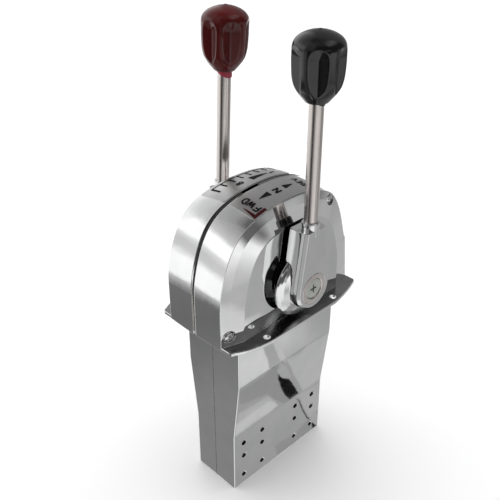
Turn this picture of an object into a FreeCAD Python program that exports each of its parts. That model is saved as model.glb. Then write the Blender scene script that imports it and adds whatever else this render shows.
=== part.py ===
import FreeCAD, Part
import os
import math
import Sketcher

# Boat throttle control lever: a top-mount twin-lever engine control.
# +X points ahead, +Y to port (the shift lever), -Y to starboard (the throttle
# lever), +Z up.  The origin is the centre of the deck bolt pattern on the deck
# plane, which is the underside of the flange.  Millimetres.

V = FreeCAD.Vector
Rot = FreeCAD.Rotation
Plc = FreeCAD.Placement

doc = FreeCAD.newDocument("TwinLeverControl")
sheet = doc.addObject("Spreadsheet::Sheet", "Dims")

ROWS = [
    # housing
    ("flange_thk", 2.5, "flange thickness"),
    ("flange_end", 69.5, "flange end edge, half length"),
    ("flange_tip", 38.2, "flange half width at the tips"),
    ("flange_half", 47.0, "flange half width at the middle"),
    ("flange_flat", 34.0, "half length of the straight outer edge"),
    ("bolt_x", 37.1, "deck bolt spacing, half, along X"),
    ("bolt_y", 41.5, "deck bolt spacing, half, along Y"),
    ("bolt_rad", 2.75, "deck bolt hole radius"),
    ("dome_half", 69.8, "dome half length at the band edge"),
    ("dome_top", 96.7, "dome top above the deck at the band edge"),
    ("dome_crown", 3.3, "extra height at the seam"),
    ("band_half", 28.0, "band half width"),
    ("side_half", 33.6, "side flat distance from the seam"),
    ("side_round", 3.0, "rounding of the side flat's edge"),
    ("rim_round", 0.6, "rounding of the flange's upper rim"),
    ("dome_wall", 3.0, "dome wall"),
    ("seam_half", 1.0, "half width of the seam strip"),
    ("case_len", 53.6, "lower case half length"),
    ("case_top", 28.5, "lower case half width at the top"),
    ("case_low", 22.0, "lower case half width at the bottom"),
    ("case_knee", 45.5, "depth where the sides start to slant"),
    ("case_heel", 102.5, "depth where the slant ends"),
    ("case_deep", 158.9, "depth of the lower case"),
    ("case_wall", 2.5, "lower case wall"),
    ("clamp_rad", 2.75, "cable clamp hole radius"),
    ("clamp_in", 20.3, "inner clamp hole column"),
    ("clamp_out", 41.9, "outer clamp hole column"),
    ("clamp_hi", 113.5, "upper clamp hole row"),
    ("clamp_mid", 127.7, "middle clamp hole row"),
    ("clamp_lo", 149.2, "lower clamp hole row"),
    ("screw_low_x", 63.6, "low housing screw, distance along X"),
    ("screw_low_z", 10.4, "low housing screw, height"),
    ("screw_top_x", 41.4, "top housing screw, distance along X"),
    ("screw_top_z", 82.4, "top housing screw, height"),
    ("slot_near", 5.0, "adjuster slot, aft end"),
    ("slot_far", 26.0, "adjuster slot, forward end"),
    ("slot_half", 1.7, "adjuster slot, half width"),
    # levers
    ("pivot_z", 32.4, "lever pivot height"),
    ("throttle_rest", -2.65, "throttle lever lean at rest, degrees"),
    ("hub_rad", 27.0, "lever hub disc radius"),
    ("hub_in", 34.1, "lever hub inner face"),
    ("arm_in", 36.4, "lever arm inner face"),
    ("arm_out", 52.5, "lever arm outer face"),
    ("arm_foot", 15.0, "lever arm radius about the pivot, outer face"),
    ("arm_bevel", 2.3, "depth of the bevel round the outer face"),
    ("arm_head", 8.8, "lever arm half width at the top"),
    ("arm_rise", 48.0, "lever arm top above the pivot"),
    ("rod_y", 46.4, "lever rod distance from the seam"),
    ("rod_rad", 5.0, "lever rod radius"),
    ("rod_foot", 38.0, "rod bottom above the pivot"),
    ("rod_head", 152.0, "rod top above the pivot"),
    ("arm_crown", 1.1, "swell of the arm's flanks between their edges"),
    ("collar_rad", 6.5, "round collar at the arm's top"),
    ("collar_top", 53.4, "collar top above the pivot"),
    ("knob_foot", 138.4, "knob bottom above the pivot"),
    ("knob_head", 183.3, "knob top above the pivot"),
    ("knob_rad", 17.1, "knob radius"),
    ("insert_rad", 6.6, "knob insert radius"),
    # shafts and cranks
    ("shaft_rad", 8.0, "lever shaft radius"),
    ("shaft_out", 44.0, "lever shaft outer end"),
    ("journal_rad", 5.0, "inner journal radius"),
    ("fit_gap", 0.05, "radial running clearance"),
    ("bush_rad", 11.0, "outer radius of the housing bush"),
    ("crank_len", 34.0, "crank length, shaft to cable swivel"),
    ("swivel_rad", 3.0, "cable swivel journal radius"),
    ("cable_rad", 2.6, "cable end hole radius"),
    ("cable_y", 12.5, "cable end hole, distance from the seam"),
    ("wheel_rad", 20.0, "detent wheel radius"),
    ("brake_rad", 22.0, "brake disc radius"),
    ("stop_rad", 2.5, "stop pin radius"),
    ("plate_half", 1.0, "half thickness of the centre plate"),
    ("label_thk", 0.35, "label plate thickness"),
]
VALUE = {}
for row, (alias, value, note) in enumerate(ROWS, start=1):
    sheet.set("A%d" % row, note)
    sheet.set("B%d" % row, str(value))
    sheet.setAlias("B%d" % row, alias)
    VALUE[alias] = float(value)
doc.recompute()


class Dim(object):
    """A size that carries its value and the sheet expression behind it."""

    def __init__(self, value, text):
        self.value = float(value)
        self.text = text

    def _pair(self, other):
        if isinstance(other, Dim):
            return other.value, other.text
        return float(other), "(%.6f)" % float(other)

    def __add__(self, other):
        v, t = self._pair(other)
        return Dim(self.value + v, "(%s + %s)" % (self.text, t))

    __radd__ = __add__

    def __sub__(self, other):
        v, t = self._pair(other)
        return Dim(self.value - v, "(%s - %s)" % (self.text, t))

    def __rsub__(self, other):
        v, t = self._pair(other)
        return Dim(v - self.value, "(%s - %s)" % (t, self.text))

    def __mul__(self, other):
        v, t = self._pair(other)
        return Dim(self.value * v, "(%s * %s)" % (self.text, t))

    __rmul__ = __mul__

    def __neg__(self):
        return Dim(-self.value, "(0 - %s)" % self.text)


def D(alias):
    return Dim(VALUE[alias], "Dims." + alias)


def num(q):
    return q.value if isinstance(q, Dim) else float(q)


MADE = []


def keep(obj, label):
    obj.Label = label
    MADE.append(obj)
    return obj


# ---------------------------------------------------------------- sketch tools

def origin_plane(body, role):
    for feature in body.Origin.OriginFeatures:
        if feature.Role == role:
            return feature
    raise RuntimeError("no plane " + role)


def pin_point(sk, geo, pos, x, y):
    for axis, q in (("X", x), ("Y", y)):
        if abs(num(q)) < 1e-9:
            sk.addConstraint(Sketcher.Constraint("PointOnObject", geo, pos, -2 if axis == "X" else -1))
            continue
        index = sk.addConstraint(Sketcher.Constraint("Distance" + axis, -1, 1, geo, pos, num(q)))
        if isinstance(q, Dim):
            sk.setExpression("Constraints[%d]" % index, q.text)


def new_sketch(body, name, role, offset=None):
    sk = body.newObject("Sketcher::SketchObject", name)
    sk.AttachmentSupport = [(origin_plane(body, role), "")]
    sk.MapMode = "FlatFace"
    if offset is not None:
        sk.AttachmentOffset = Plc(V(0, 0, num(offset)), Rot())
        if isinstance(offset, Dim):
            sk.setExpression("AttachmentOffset.Base.z", offset.text)
    return sk


def draw_loop(sk, points):
    first = None
    n = len(points)
    ids = []
    for i in range(n):
        a, b = points[i], points[(i + 1) % n]
        ids.append(sk.addGeometry(Part.LineSegment(V(num(a[0]), num(a[1]), 0), V(num(b[0]), num(b[1]), 0)), False))
    for i in range(n):
        sk.addConstraint(Sketcher.Constraint("Coincident", ids[i], 2, ids[(i + 1) % n], 1))
    for i in range(n):
        pin_point(sk, ids[i], 1, points[i][0], points[i][1])


def draw_circle(sk, cx, cy, r):
    geo = sk.addGeometry(Part.Circle(V(num(cx), num(cy), 0), V(0, 0, 1), num(r)), False)
    if abs(num(cx)) < 1e-9 and abs(num(cy)) < 1e-9:
        sk.addConstraint(Sketcher.Constraint("Coincident", geo, 3, -1, 1))
    else:
        pin_point(sk, geo, 3, cx, cy)
    index = sk.addConstraint(Sketcher.Constraint("Radius", geo, num(r)))
    if isinstance(r, Dim):
        sk.setExpression("Constraints[%d]" % index, r.text)


def draw(sk, shapes):
    for item in shapes:
        if item[0] == "circle":
            draw_circle(sk, item[1], item[2], item[3])
        else:
            draw_loop(sk, item[1])


def draw_paddle(sk, r, w, top):
    """An arc about the origin with two tangent flanks up to a flat top."""
    rv, wv, tv = num(r), num(w), num(top)
    end = math.atan2(tv, wv) - math.acos(rv / math.hypot(wv, tv))
    arc = sk.addGeometry(Part.ArcOfCircle(Part.Circle(V(0, 0, 0), V(0, 0, 1), rv), math.pi - end, 2 * math.pi + end), False)
    ex, ey = rv * math.cos(end), rv * math.sin(end)
    right = sk.addGeometry(Part.LineSegment(V(ex, ey, 0), V(wv, tv, 0)), False)
    lid = sk.addGeometry(Part.LineSegment(V(wv, tv, 0), V(-wv, tv, 0)), False)
    left = sk.addGeometry(Part.LineSegment(V(-wv, tv, 0), V(-ex, ey, 0)), False)
    sk.addConstraint(Sketcher.Constraint("Coincident", arc, 3, -1, 1))
    index = sk.addConstraint(Sketcher.Constraint("Radius", arc, rv))
    sk.setExpression("Constraints[%d]" % index, r.text)
    sk.addConstraint(Sketcher.Constraint("Tangent", arc, 2, right, 1))
    sk.addConstraint(Sketcher.Constraint("Coincident", right, 2, lid, 1))
    sk.addConstraint(Sketcher.Constraint("Coincident", lid, 2, left, 1))
    sk.addConstraint(Sketcher.Constraint("Tangent", left, 2, arc, 1))
    pin_point(sk, lid, 1, w, top)
    pin_point(sk, left, 1, -w, top)


def new_body(label):
    body = doc.addObject("PartDesign::Body", label)
    return keep(body, label)


def revolve(body, name, role, points, cut=False):
    """Full turn of a closed profile about the sketch's vertical axis."""
    sk = new_sketch(body, name + "Sketch", role)
    draw_loop(sk, points)
    kind = "PartDesign::Groove" if cut else "PartDesign::Revolution"
    f = body.newObject(kind, name)
    f.Profile = sk
    f.ReferenceAxis = (sk, ["V_Axis"])
    f.Angle = 360.0
    return f


def pad(body, name, role, shapes, length, offset=None, cut=False, reverse=False):
    sk = new_sketch(body, name + "Sketch", role, offset)
    draw(sk, shapes)
    f = body.newObject("PartDesign::Pocket" if cut else "PartDesign::Pad", name)
    f.Profile = sk
    f.Length = num(length)
    if isinstance(length, Dim):
        f.setExpression("Length", length.text)
    f.Reversed = reverse
    return f


def rect(x0, x1, y0, y1):
    return ("poly", [(x0, y0), (x1, y0), (x1, y1), (x0, y1)])


def turn_about_z(obj, half_turn, at=None, lean=None):
    """Place a lever-side piece: at the pivot height, on its own side, leaning."""
    rot = Rot(V(0, 0, 1), 180.0) if half_turn else Rot()
    if lean is not None:
        rot = Rot(V(0, 1, 0), lean).multiply(rot)
    base = at if at is not None else V(0, 0, VALUE["pivot_z"])
    obj.Placement = Plc(base, rot)
    if at is None and lean is None:
        obj.setExpression("Placement.Base.z", "Dims.pivot_z")


# ------------------------------------------------------------- housing castings

def scaled_arch(points, sx, sz):
    return [(x * sx, z * sz) for x, z in points]


def arch_wire(y, fore, fore_foot, aft, aft_foot):
    """Closed outline in the plane Y = y: straight legs, a splined arch, a base.
    fore and aft are the two halves of the arch as (distance, height), each
    from its leg's end up to the top; the feet are the legs' lower ends."""
    right = [V(x, y, z) for x, z in fore]
    left = [V(-x, y, z) for x, z in reversed(aft[:-1])]
    curve = Part.BSplineCurve()
    lead = math.hypot(fore[0][0] - fore_foot[0], fore[0][1] - fore_foot[1])
    up = V((fore[0][0] - fore_foot[0]) / lead, 0, (fore[0][1] - fore_foot[1]) / lead)
    lead = math.hypot(aft[0][0] - aft_foot[0], aft[0][1] - aft_foot[1])
    down = V((aft[0][0] - aft_foot[0]) / lead, 0, -(aft[0][1] - aft_foot[1]) / lead)
    curve.interpolate(Points=right + left, InitialTangent=up, FinalTangent=down)
    a = V(fore_foot[0], y, fore_foot[1])
    b = V(fore[0][0], y, fore[0][1])
    c = V(-aft[0][0], y, aft[0][1])
    d = V(-aft_foot[0], y, aft_foot[1])
    edges = [Part.LineSegment(a, b).toShape(), curve.toShape(), Part.LineSegment(c, d).toShape(),
             Part.LineSegment(d, a).toShape()]
    return Part.Wire(edges)


# front half of the dome outline seen from the side, as fractions of the half
# length and of the height: the leg's end first, the top last; the back half
# leans in a little more
BAND = [(1.0, 0.340), (0.9945, 0.425), (0.966, 0.530), (0.908, 0.665), (0.825, 0.787), (0.706, 0.880),
        (0.536, 0.945), (0.362, 0.9785), (0.185, 0.995), (0.0, 1.0)]
BAND_AFT = [(0.943, 0.340), (0.921, 0.425), (0.867, 0.545), (0.808, 0.6825), (0.742, 0.787), (0.645, 0.880),
            (0.500, 0.942), (0.350, 0.9755), (0.185, 0.994), (0.0, 1.0)]
AFT_FOOT = 0.993
# the outline of the flat on the dome's side, in the same fractions
FLAT = [(0.742, 0.300), (0.718, 0.400), (0.668, 0.535), (0.612, 0.632), (0.545, 0.706), (0.458, 0.757),
        (0.322, 0.796), (0.172, 0.812), (0.0, 0.817)]
FLAT_FOOT = 0.757
FLAT_AFT = 0.955


def dome_section(y, half, top, shrink):
    """Outline of the band at Y = y; the seam is crowned a little."""
    band = VALUE["band_half"]
    u = 1.0 - min(1.0, (y / band) ** 2)
    a = (half - shrink) * (1.0 + 0.010 * u)
    hgt = top - shrink + VALUE["dome_crown"] * u
    return arch_wire(y, scaled_arch(BAND, a, hgt), (a, -2.0), scaled_arch(BAND_AFT, a, hgt), (AFT_FOOT * a, -2.0))


def flat_section(y, half, top, shrink):
    a = half - shrink
    hgt = top - shrink
    return arch_wire(y, scaled_arch(FLAT, a, hgt), (FLAT_FOOT * a, -2.0),
                     scaled_arch(FLAT, a * FLAT_AFT, hgt), (FLAT_FOOT * FLAT_AFT * a, -2.0))


def dome_solid(shrink, y_first, y_band, y_side, edge_drop):
    half, top = VALUE["dome_half"], VALUE["dome_top"]
    solids = []
    y_start = y_first
    if edge_drop > 0:
        y_start = y_first + 0.8
        solids.append(Part.makeLoft([dome_section(y_first, half, top, shrink + edge_drop),
                                     dome_section(y_start, half, top, shrink)], True, True))
    ys = [y_start, y_start + (y_band - y_start) / 3.0, y_start + 2.0 * (y_band - y_start) / 3.0, y_band]
    solids.append(Part.makeLoft([dome_section(y, half, top, shrink) for y in ys], True, False))
    last = dome_section(VALUE["band_half"], half, top, shrink)
    if y_band != VALUE["band_half"]:
        last.translate(V(0, y_band - VALUE["band_half"], 0))
    solids.append(Part.makeLoft([last, flat_section(y_side, half, top, shrink * 0.8)], True, True))
    solid = solids[0]
    for s in solids[1:]:
        solid = solid.fuse(s)
    big = Part.makeBox(400, 400, 300, V(-200, -200, 0))
    return solid.common(big).removeSplitter()


def flange_solid():
    e, tip, w, flat = VALUE["flange_end"], VALUE["flange_tip"], VALUE["flange_half"], VALUE["flange_flat"]
    pts = [V(e, 0, 0), V(e, tip - 3.2, 0), V(e - 0.75, tip - 0.75, 0), V(e - 3.2, tip + 0.45, 0),
           V((e + flat) / 2.0 - 0.3, (tip + w) / 2.0 + 2.3, 0), V(flat, w, 0)]
    edges = [Part.LineSegment(pts[0], pts[1]).toShape(),
             Part.Arc(pts[1], pts[2], pts[3]).toShape(),
             Part.Arc(pts[3], pts[4], pts[5]).toShape()]
    left = [V(-p.x, p.y, 0) for p in pts]
    left[4] = V(-((e + flat) / 2.0 - 0.5), (tip + w) / 2.0 + 0.9, 0)
    edges.append(Part.LineSegment(pts[5], left[5]).toShape())
    edges.append(Part.Arc(left[5], left[4], left[3]).toShape())
    edges.append(Part.Arc(left[3], left[2], left[1]).toShape())
    edges.append(Part.LineSegment(left[1], left[0]).toShape())
    edges.append(Part.LineSegment(left[0], pts[0]).toShape())
    plate = Part.Face(Part.Wire(edges)).extrude(V(0, 0, VALUE["flange_thk"]))
    for sx in (-1, 1):
        plate = plate.cut(Part.makeCylinder(VALUE["bolt_rad"], 10, V(sx * VALUE["bolt_x"], VALUE["bolt_y"], -3)))
    rim = [ed for ed in plate.Edges if ed.BoundBox.ZMin > VALUE["flange_thk"] - 0.05 and ed.BoundBox.YMax > 0.1
           and abs(ed.Length - 2 * math.pi * VALUE["bolt_rad"]) > 0.1]
    return plate.makeFillet(VALUE["rim_round"], rim)


def case_prism(inset, long_inset, extra, round_edges):
    """The lower case as a solid: its section in the YZ plane swept along X."""
    top = VALUE["case_top"] - inset
    low = VALUE["case_low"] - inset
    deep = VALUE["case_deep"] + extra
    length = VALUE["case_len"] - long_inset
    sec = [V(-length, 0, 1.0), V(-length, top, 1.0), V(-length, top, -VALUE["case_knee"]),
           V(-length, low, -VALUE["case_heel"]), V(-length, low, -deep), V(-length, 0, -deep)]
    face = Part.Face(Part.makePolygon(sec + [sec[0]]))
    solid = face.extrude(V(2 * length, 0, 0))
    if round_edges > 0:
        long_edges = []
        for ed in solid.Edges:
            c = ed.CenterOfMass
            if abs(abs(c.x) - length) < 1e-3 and c.y > 1.0 and ed.BoundBox.YMin > low - 0.5 and ed.BoundBox.ZLength > 5:
                long_edges.append(ed)
        solid = solid.makeFillet(round_edges, long_edges)
    return solid


def y_cylinder(r, x, z, y0, y1):
    return Part.makeCylinder(r, y1 - y0, V(x, y0, z), V(0, 1, 0))


def half_housing(clear_at, thread_at):
    """The port casting: half a dome, half the flange and half the lower case.
    clear_at are the screws that enter from this side, thread_at those that
    come from the other side."""
    v = VALUE
    wall = v["dome_wall"]
    outer = dome_solid(0.0, v["seam_half"], v["band_half"], v["side_half"], 0.8)
    rim = [ed for ed in outer.Edges if abs(ed.BoundBox.YMin - v["side_half"]) < 0.02
           and abs(ed.BoundBox.YMax - v["side_half"]) < 0.02 and ed.BoundBox.ZMax > 1.0]
    outer = outer.makeFillet(v["side_round"], rim)
    inner = dome_solid(wall, -1.0, v["band_half"] - 1.4, v["side_half"] - wall, 0.0)
    body = outer.fuse(flange_solid())
    case = case_prism(0.0, 0.0, 0.0, 1.3)
    # bottom corners cut back
    cut = 1.2
    for sx in (-1, 1):
        wedge = Part.Face(Part.makePolygon([
            V(sx * (v["case_len"] + 1), -1, -v["case_deep"] + cut + 1),
            V(sx * (v["case_len"] - cut - 1), -1, -v["case_deep"] - 1),
            V(sx * (v["case_len"] + 9), -1, -v["case_deep"] - 9),
            V(sx * (v["case_len"] + 1), -1, -v["case_deep"] + cut + 1)])).extrude(V(0, 60, 0))
        case = case.cut(wedge)
    body = body.fuse(case)
    body = body.cut(inner.common(Part.makeBox(400, 400, 300, V(-200, -1, v["flange_thk"]))))
    body = body.cut(case_prism(v["case_wall"], v["case_wall"], 20.0, 0.0).fuse(
        Part.makeBox(2 * (v["case_len"] - v["case_wall"]), v["case_top"] - v["case_wall"], 6,
                     V(-(v["case_len"] - v["case_wall"]), 0, -2))))
    # inside bosses, kept within the outer form
    posts = []
    for x, z, floor in clear_at:
        posts.append(y_cylinder(5.6, x, z, v["seam_half"] + 0.2, 40))
    for x, z in thread_at:
        posts.append(y_cylinder(4.8, x, z, v["seam_half"] + 0.2, 17.0))
        if z < 40:
            posts.append(Part.makeBox(12.0, 15.8, 5.0, V(x if x > 0 else x - 12.0, v["seam_half"] + 0.2, z - 2.5)))
        else:
            posts.append(Part.makeBox(5.0, 15.8, 14.0, V(x - 2.5, v["seam_half"] + 0.2, z)))
    posts.append(y_cylinder(14.5, 0, v["pivot_z"], 21.6, 40))
    for post in posts:
        body = body.fuse(post.common(outer))
    # the strip's groove along the dome's seam
    body = body.cut(Part.makeBox(300, 2.0, 200, V(-150, v["seam_half"] - 2.0, v["flange_thk"])))
    # bores
    body = body.cut(y_cylinder(v["bush_rad"], 0, v["pivot_z"], 0, 40))
    for x, z, floor in clear_at:
        body = body.cut(y_cylinder(2.25, x, z, 0, 40))
        body = body.cut(y_cylinder(4.7, x, z, floor, 40))
    for x, z in thread_at:
        body = body.cut(y_cylinder(2.0, x, z, 0, 14.0))
    # adjuster slot in the seam, half of it in each casting
    length = v["slot_far"] - v["slot_near"]
    body = body.cut(Part.makeBox(length, v["slot_half"] + 1, 40, V(v["slot_near"], -1, 80)))
    # cable clamp holes in the side plate
    for sx in (-1, 1):
        for x in (v["clamp_in"], v["clamp_out"]):
            for z in (v["clamp_hi"], v["clamp_mid"], v["clamp_lo"]):
                body = body.cut(y_cylinder(v["clamp_rad"], sx * x, -z, 10, 40))
    return body.removeSplitter()


LOW = (VALUE["screw_low_x"], VALUE["screw_low_z"])
TOP = (VALUE["screw_top_x"], VALUE["screw_top_z"])
LOW_FLOOR, TOP_FLOOR = 28.3, 26.6

port_shape = half_housing([(LOW[0], LOW[1], LOW_FLOOR), (-TOP[0], TOP[1], TOP_FLOOR)],
                          [(-LOW[0], LOW[1]), (TOP[0], TOP[1])])
star_shape = half_housing([(-LOW[0], LOW[1], LOW_FLOOR), (TOP[0], TOP[1], TOP_FLOOR)],
                          [(LOW[0], LOW[1]), (-TOP[0], TOP[1])]).mirror(V(0, 0, 0), V(0, 1, 0))

housing_port = keep(doc.addObject("Part::Feature", "housing_port"), "housing_port")
housing_port.Shape = port_shape
housing_starboard = keep(doc.addObject("Part::Feature", "housing_starboard"), "housing_starboard")
housing_starboard.Shape = star_shape


# seam strips: a rubber strip at the front, a metal bead at the back
def seam_ring(drop):
    half, top = VALUE["dome_half"], VALUE["dome_top"]
    y = VALUE["seam_half"] - 0.02
    a = Part.makeLoft([dome_section(-y, half, top, drop), dome_section(y, half, top, drop)], True, True)
    b = Part.makeLoft([dome_section(-y - 1, half, top, VALUE["dome_wall"]),
                       dome_section(y + 1, half, top, VALUE["dome_wall"])], True, True)
    return a.cut(b).common(Part.makeBox(300, 10, 200, V(-150, -5, VALUE["flange_thk"])))


strip = seam_ring(0.9)
front_strip = keep(doc.addObject("Part::Feature", "seal_strip_front"), "seal_strip_front")
front_strip.Shape = strip.common(Part.makeBox(100, 10, 200, V(VALUE["slot_far"], -5, 0)))
bead = seam_ring(0.35)
rear_bead = keep(doc.addObject("Part::Feature", "seam_bead_rear"), "seam_bead_rear")
rear_bead.Shape = bead.common(Part.makeBox(100, 10, 200, V(VALUE["slot_near"] - 100, -5, 0)))


# label plates on the top of the band, bent to its surface
def label_shape(y0, y1):
    half, top = VALUE["dome_half"], VALUE["dome_top"]
    ys = [y0, (y0 + y1) / 2.0, y1]
    skin = Part.makeLoft([dome_section(y, half, top, -VALUE["label_thk"]) for y in ys], True, False)
    window = Part.makeBox(68.0, y1 - y0, 60, V(-31.5, y0, 70))
    corners = [ed for ed in window.Edges if ed.BoundBox.ZLength > 50]
    window = window.makeFillet(2.0, corners)
    return skin.common(window).cut(port_shape.fuse(
        dome_solid(VALUE["dome_wall"] - 0.5, -1.0, VALUE["band_half"] - 1.2, VALUE["side_half"] - 2.5, 0.0)))


label_port = label_shape(2.6, 27.2)
if len(label_port.Solids) > 1:
    label_port = max(label_port.Solids, key=lambda q: q.Volume)
shift_label = keep(doc.addObject("Part::Feature", "shift_label"), "shift_label")
shift_label.Shape = label_port
throttle_label = keep(doc.addObject("Part::Feature", "throttle_label"), "throttle_label")
throttle_label.Shape = label_port.mirror(V(0, 0, 0), V(0, 1, 0))


# housing screws: long pan heads, two from each side
def pan_screw(x, z, floor, side, reach):
    head = y_cylinder(4.0, 0, 0, 0, 2.7)
    rim = [ed for ed in head.Edges if abs(ed.CenterOfMass.y - 2.7) < 1e-3]
    head = head.makeFillet(1.3, rim)
    shank = y_cylinder(2.0, 0, 0, -(floor + reach), 0)
    cross = Part.makeBox(5.0, 2.0, 0.9, V(-2.5, 1.2, -0.45)).fuse(Part.makeBox(0.9, 2.0, 5.0, V(-0.45, 1.2, -2.5)))
    screw = head.fuse(shank).cut(cross).removeSplitter()
    screw.translate(V(0, floor, 0))
    if side < 0:
        screw.rotate(V(0, 0, 0), V(0, 0, 1), 180)
    screw.translate(V(x, 0, z))
    return screw


housing_screws = keep(doc.addObject("Part::Feature", "housing_screws"), "housing_screws")
housing_screws.Shape = Part.makeCompound([
    pan_screw(LOW[0], LOW[1], LOW_FLOOR, 1, 13.0), pan_screw(-TOP[0], TOP[1], TOP_FLOOR, 1, 13.0),
    pan_screw(-LOW[0], LOW[1], LOW_FLOOR, -1, 13.0), pan_screw(TOP[0], TOP[1], TOP_FLOOR, -1, 13.0)])

# ------------------------------------------------------------- centre plate
plate_box = Part.makeLoft([dome_section(-VALUE["plate_half"], VALUE["dome_half"], VALUE["dome_top"], VALUE["dome_wall"] + 0.3),
                           dome_section(VALUE["plate_half"], VALUE["dome_half"], VALUE["dome_top"], VALUE["dome_wall"] + 0.3)],
                          True, True)
plate_shape = plate_box.common(Part.makeBox(300, 10, 200, V(-150, -5, 4.0)))
PZ = VALUE["pivot_z"]
for hx, hz, hr in ((LOW[0], LOW[1], 2.3), (-LOW[0], LOW[1], 2.3), (TOP[0], TOP[1], 2.3), (-TOP[0], TOP[1], 2.3),
                   (0, PZ, 9.0), (24.5, PZ - 8.8, VALUE["stop_rad"]), (-24.5, PZ - 8.8, VALUE["stop_rad"]),
                   (-5.0, PZ + 32.0, 1.5), (5.0, PZ + 24.0, 1.5), (-29.5, PZ + 12.0, 1.5), (-29.5, PZ + 0.5, 1.5),
                   (6.8, PZ + 46.0, 1.5), (24.2, PZ + 46.0, 1.5)):
    plate_shape = plate_shape.cut(y_cylinder(hr, hx, hz, -5, 5))
plate_shape = plate_shape.cut(Part.makeBox(10.0, 10, 100, V(10.5, -5, PZ + 7.5)))
# lightening windows
for wx in (-1, 1):
    plate_shape = plate_shape.cut(Part.makeBox(16.0, 10, 22.0, V(40.0 if wx > 0 else -56.0, -5, 26.0)))
centre_plate = keep(doc.addObject("Part::Feature", "centre_plate"), "centre_plate")
centre_plate.Shape = plate_shape.removeSplitter()

centre_bush = new_body("centre_bush")
jr = D("journal_rad") + D("fit_gap")
revolve(centre_bush, "Sleeve", "XY_Plane", [(jr, -7.6), (9.0, -7.6), (9.0, 1.0), (11.5, 1.0), (11.5, 2.6), (9.0, 2.6),
                                            (9.0, 7.6), (jr, 7.6)])
turn_about_z(centre_bush, False)

stop_pins = keep(doc.addObject("Part::Feature", "stop_pins"), "stop_pins")
pins = []
for sx in (-1, 1):
    pin = y_cylinder(VALUE["stop_rad"], sx * 24.5, PZ - 8.8, -20.8, 20.8)
    ends = [ed for ed in pin.Edges if abs(abs(ed.CenterOfMass.y) - 20.8) < 1e-3]
    pins.append(pin.makeChamfer(0.5, ends))
stop_pins.Shape = Part.makeCompound(pins)

# ------------------------------------------------------- lever sides (both)
LEAN = {"shift": None, "throttle": VALUE["throttle_rest"]}
KNOB_TURN = {"shift": 10.0, "throttle": -25.4}


def lever_piece(obj, side):
    half_turn = side == "throttle"
    turn_about_z(obj, half_turn, None, LEAN[side])


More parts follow.
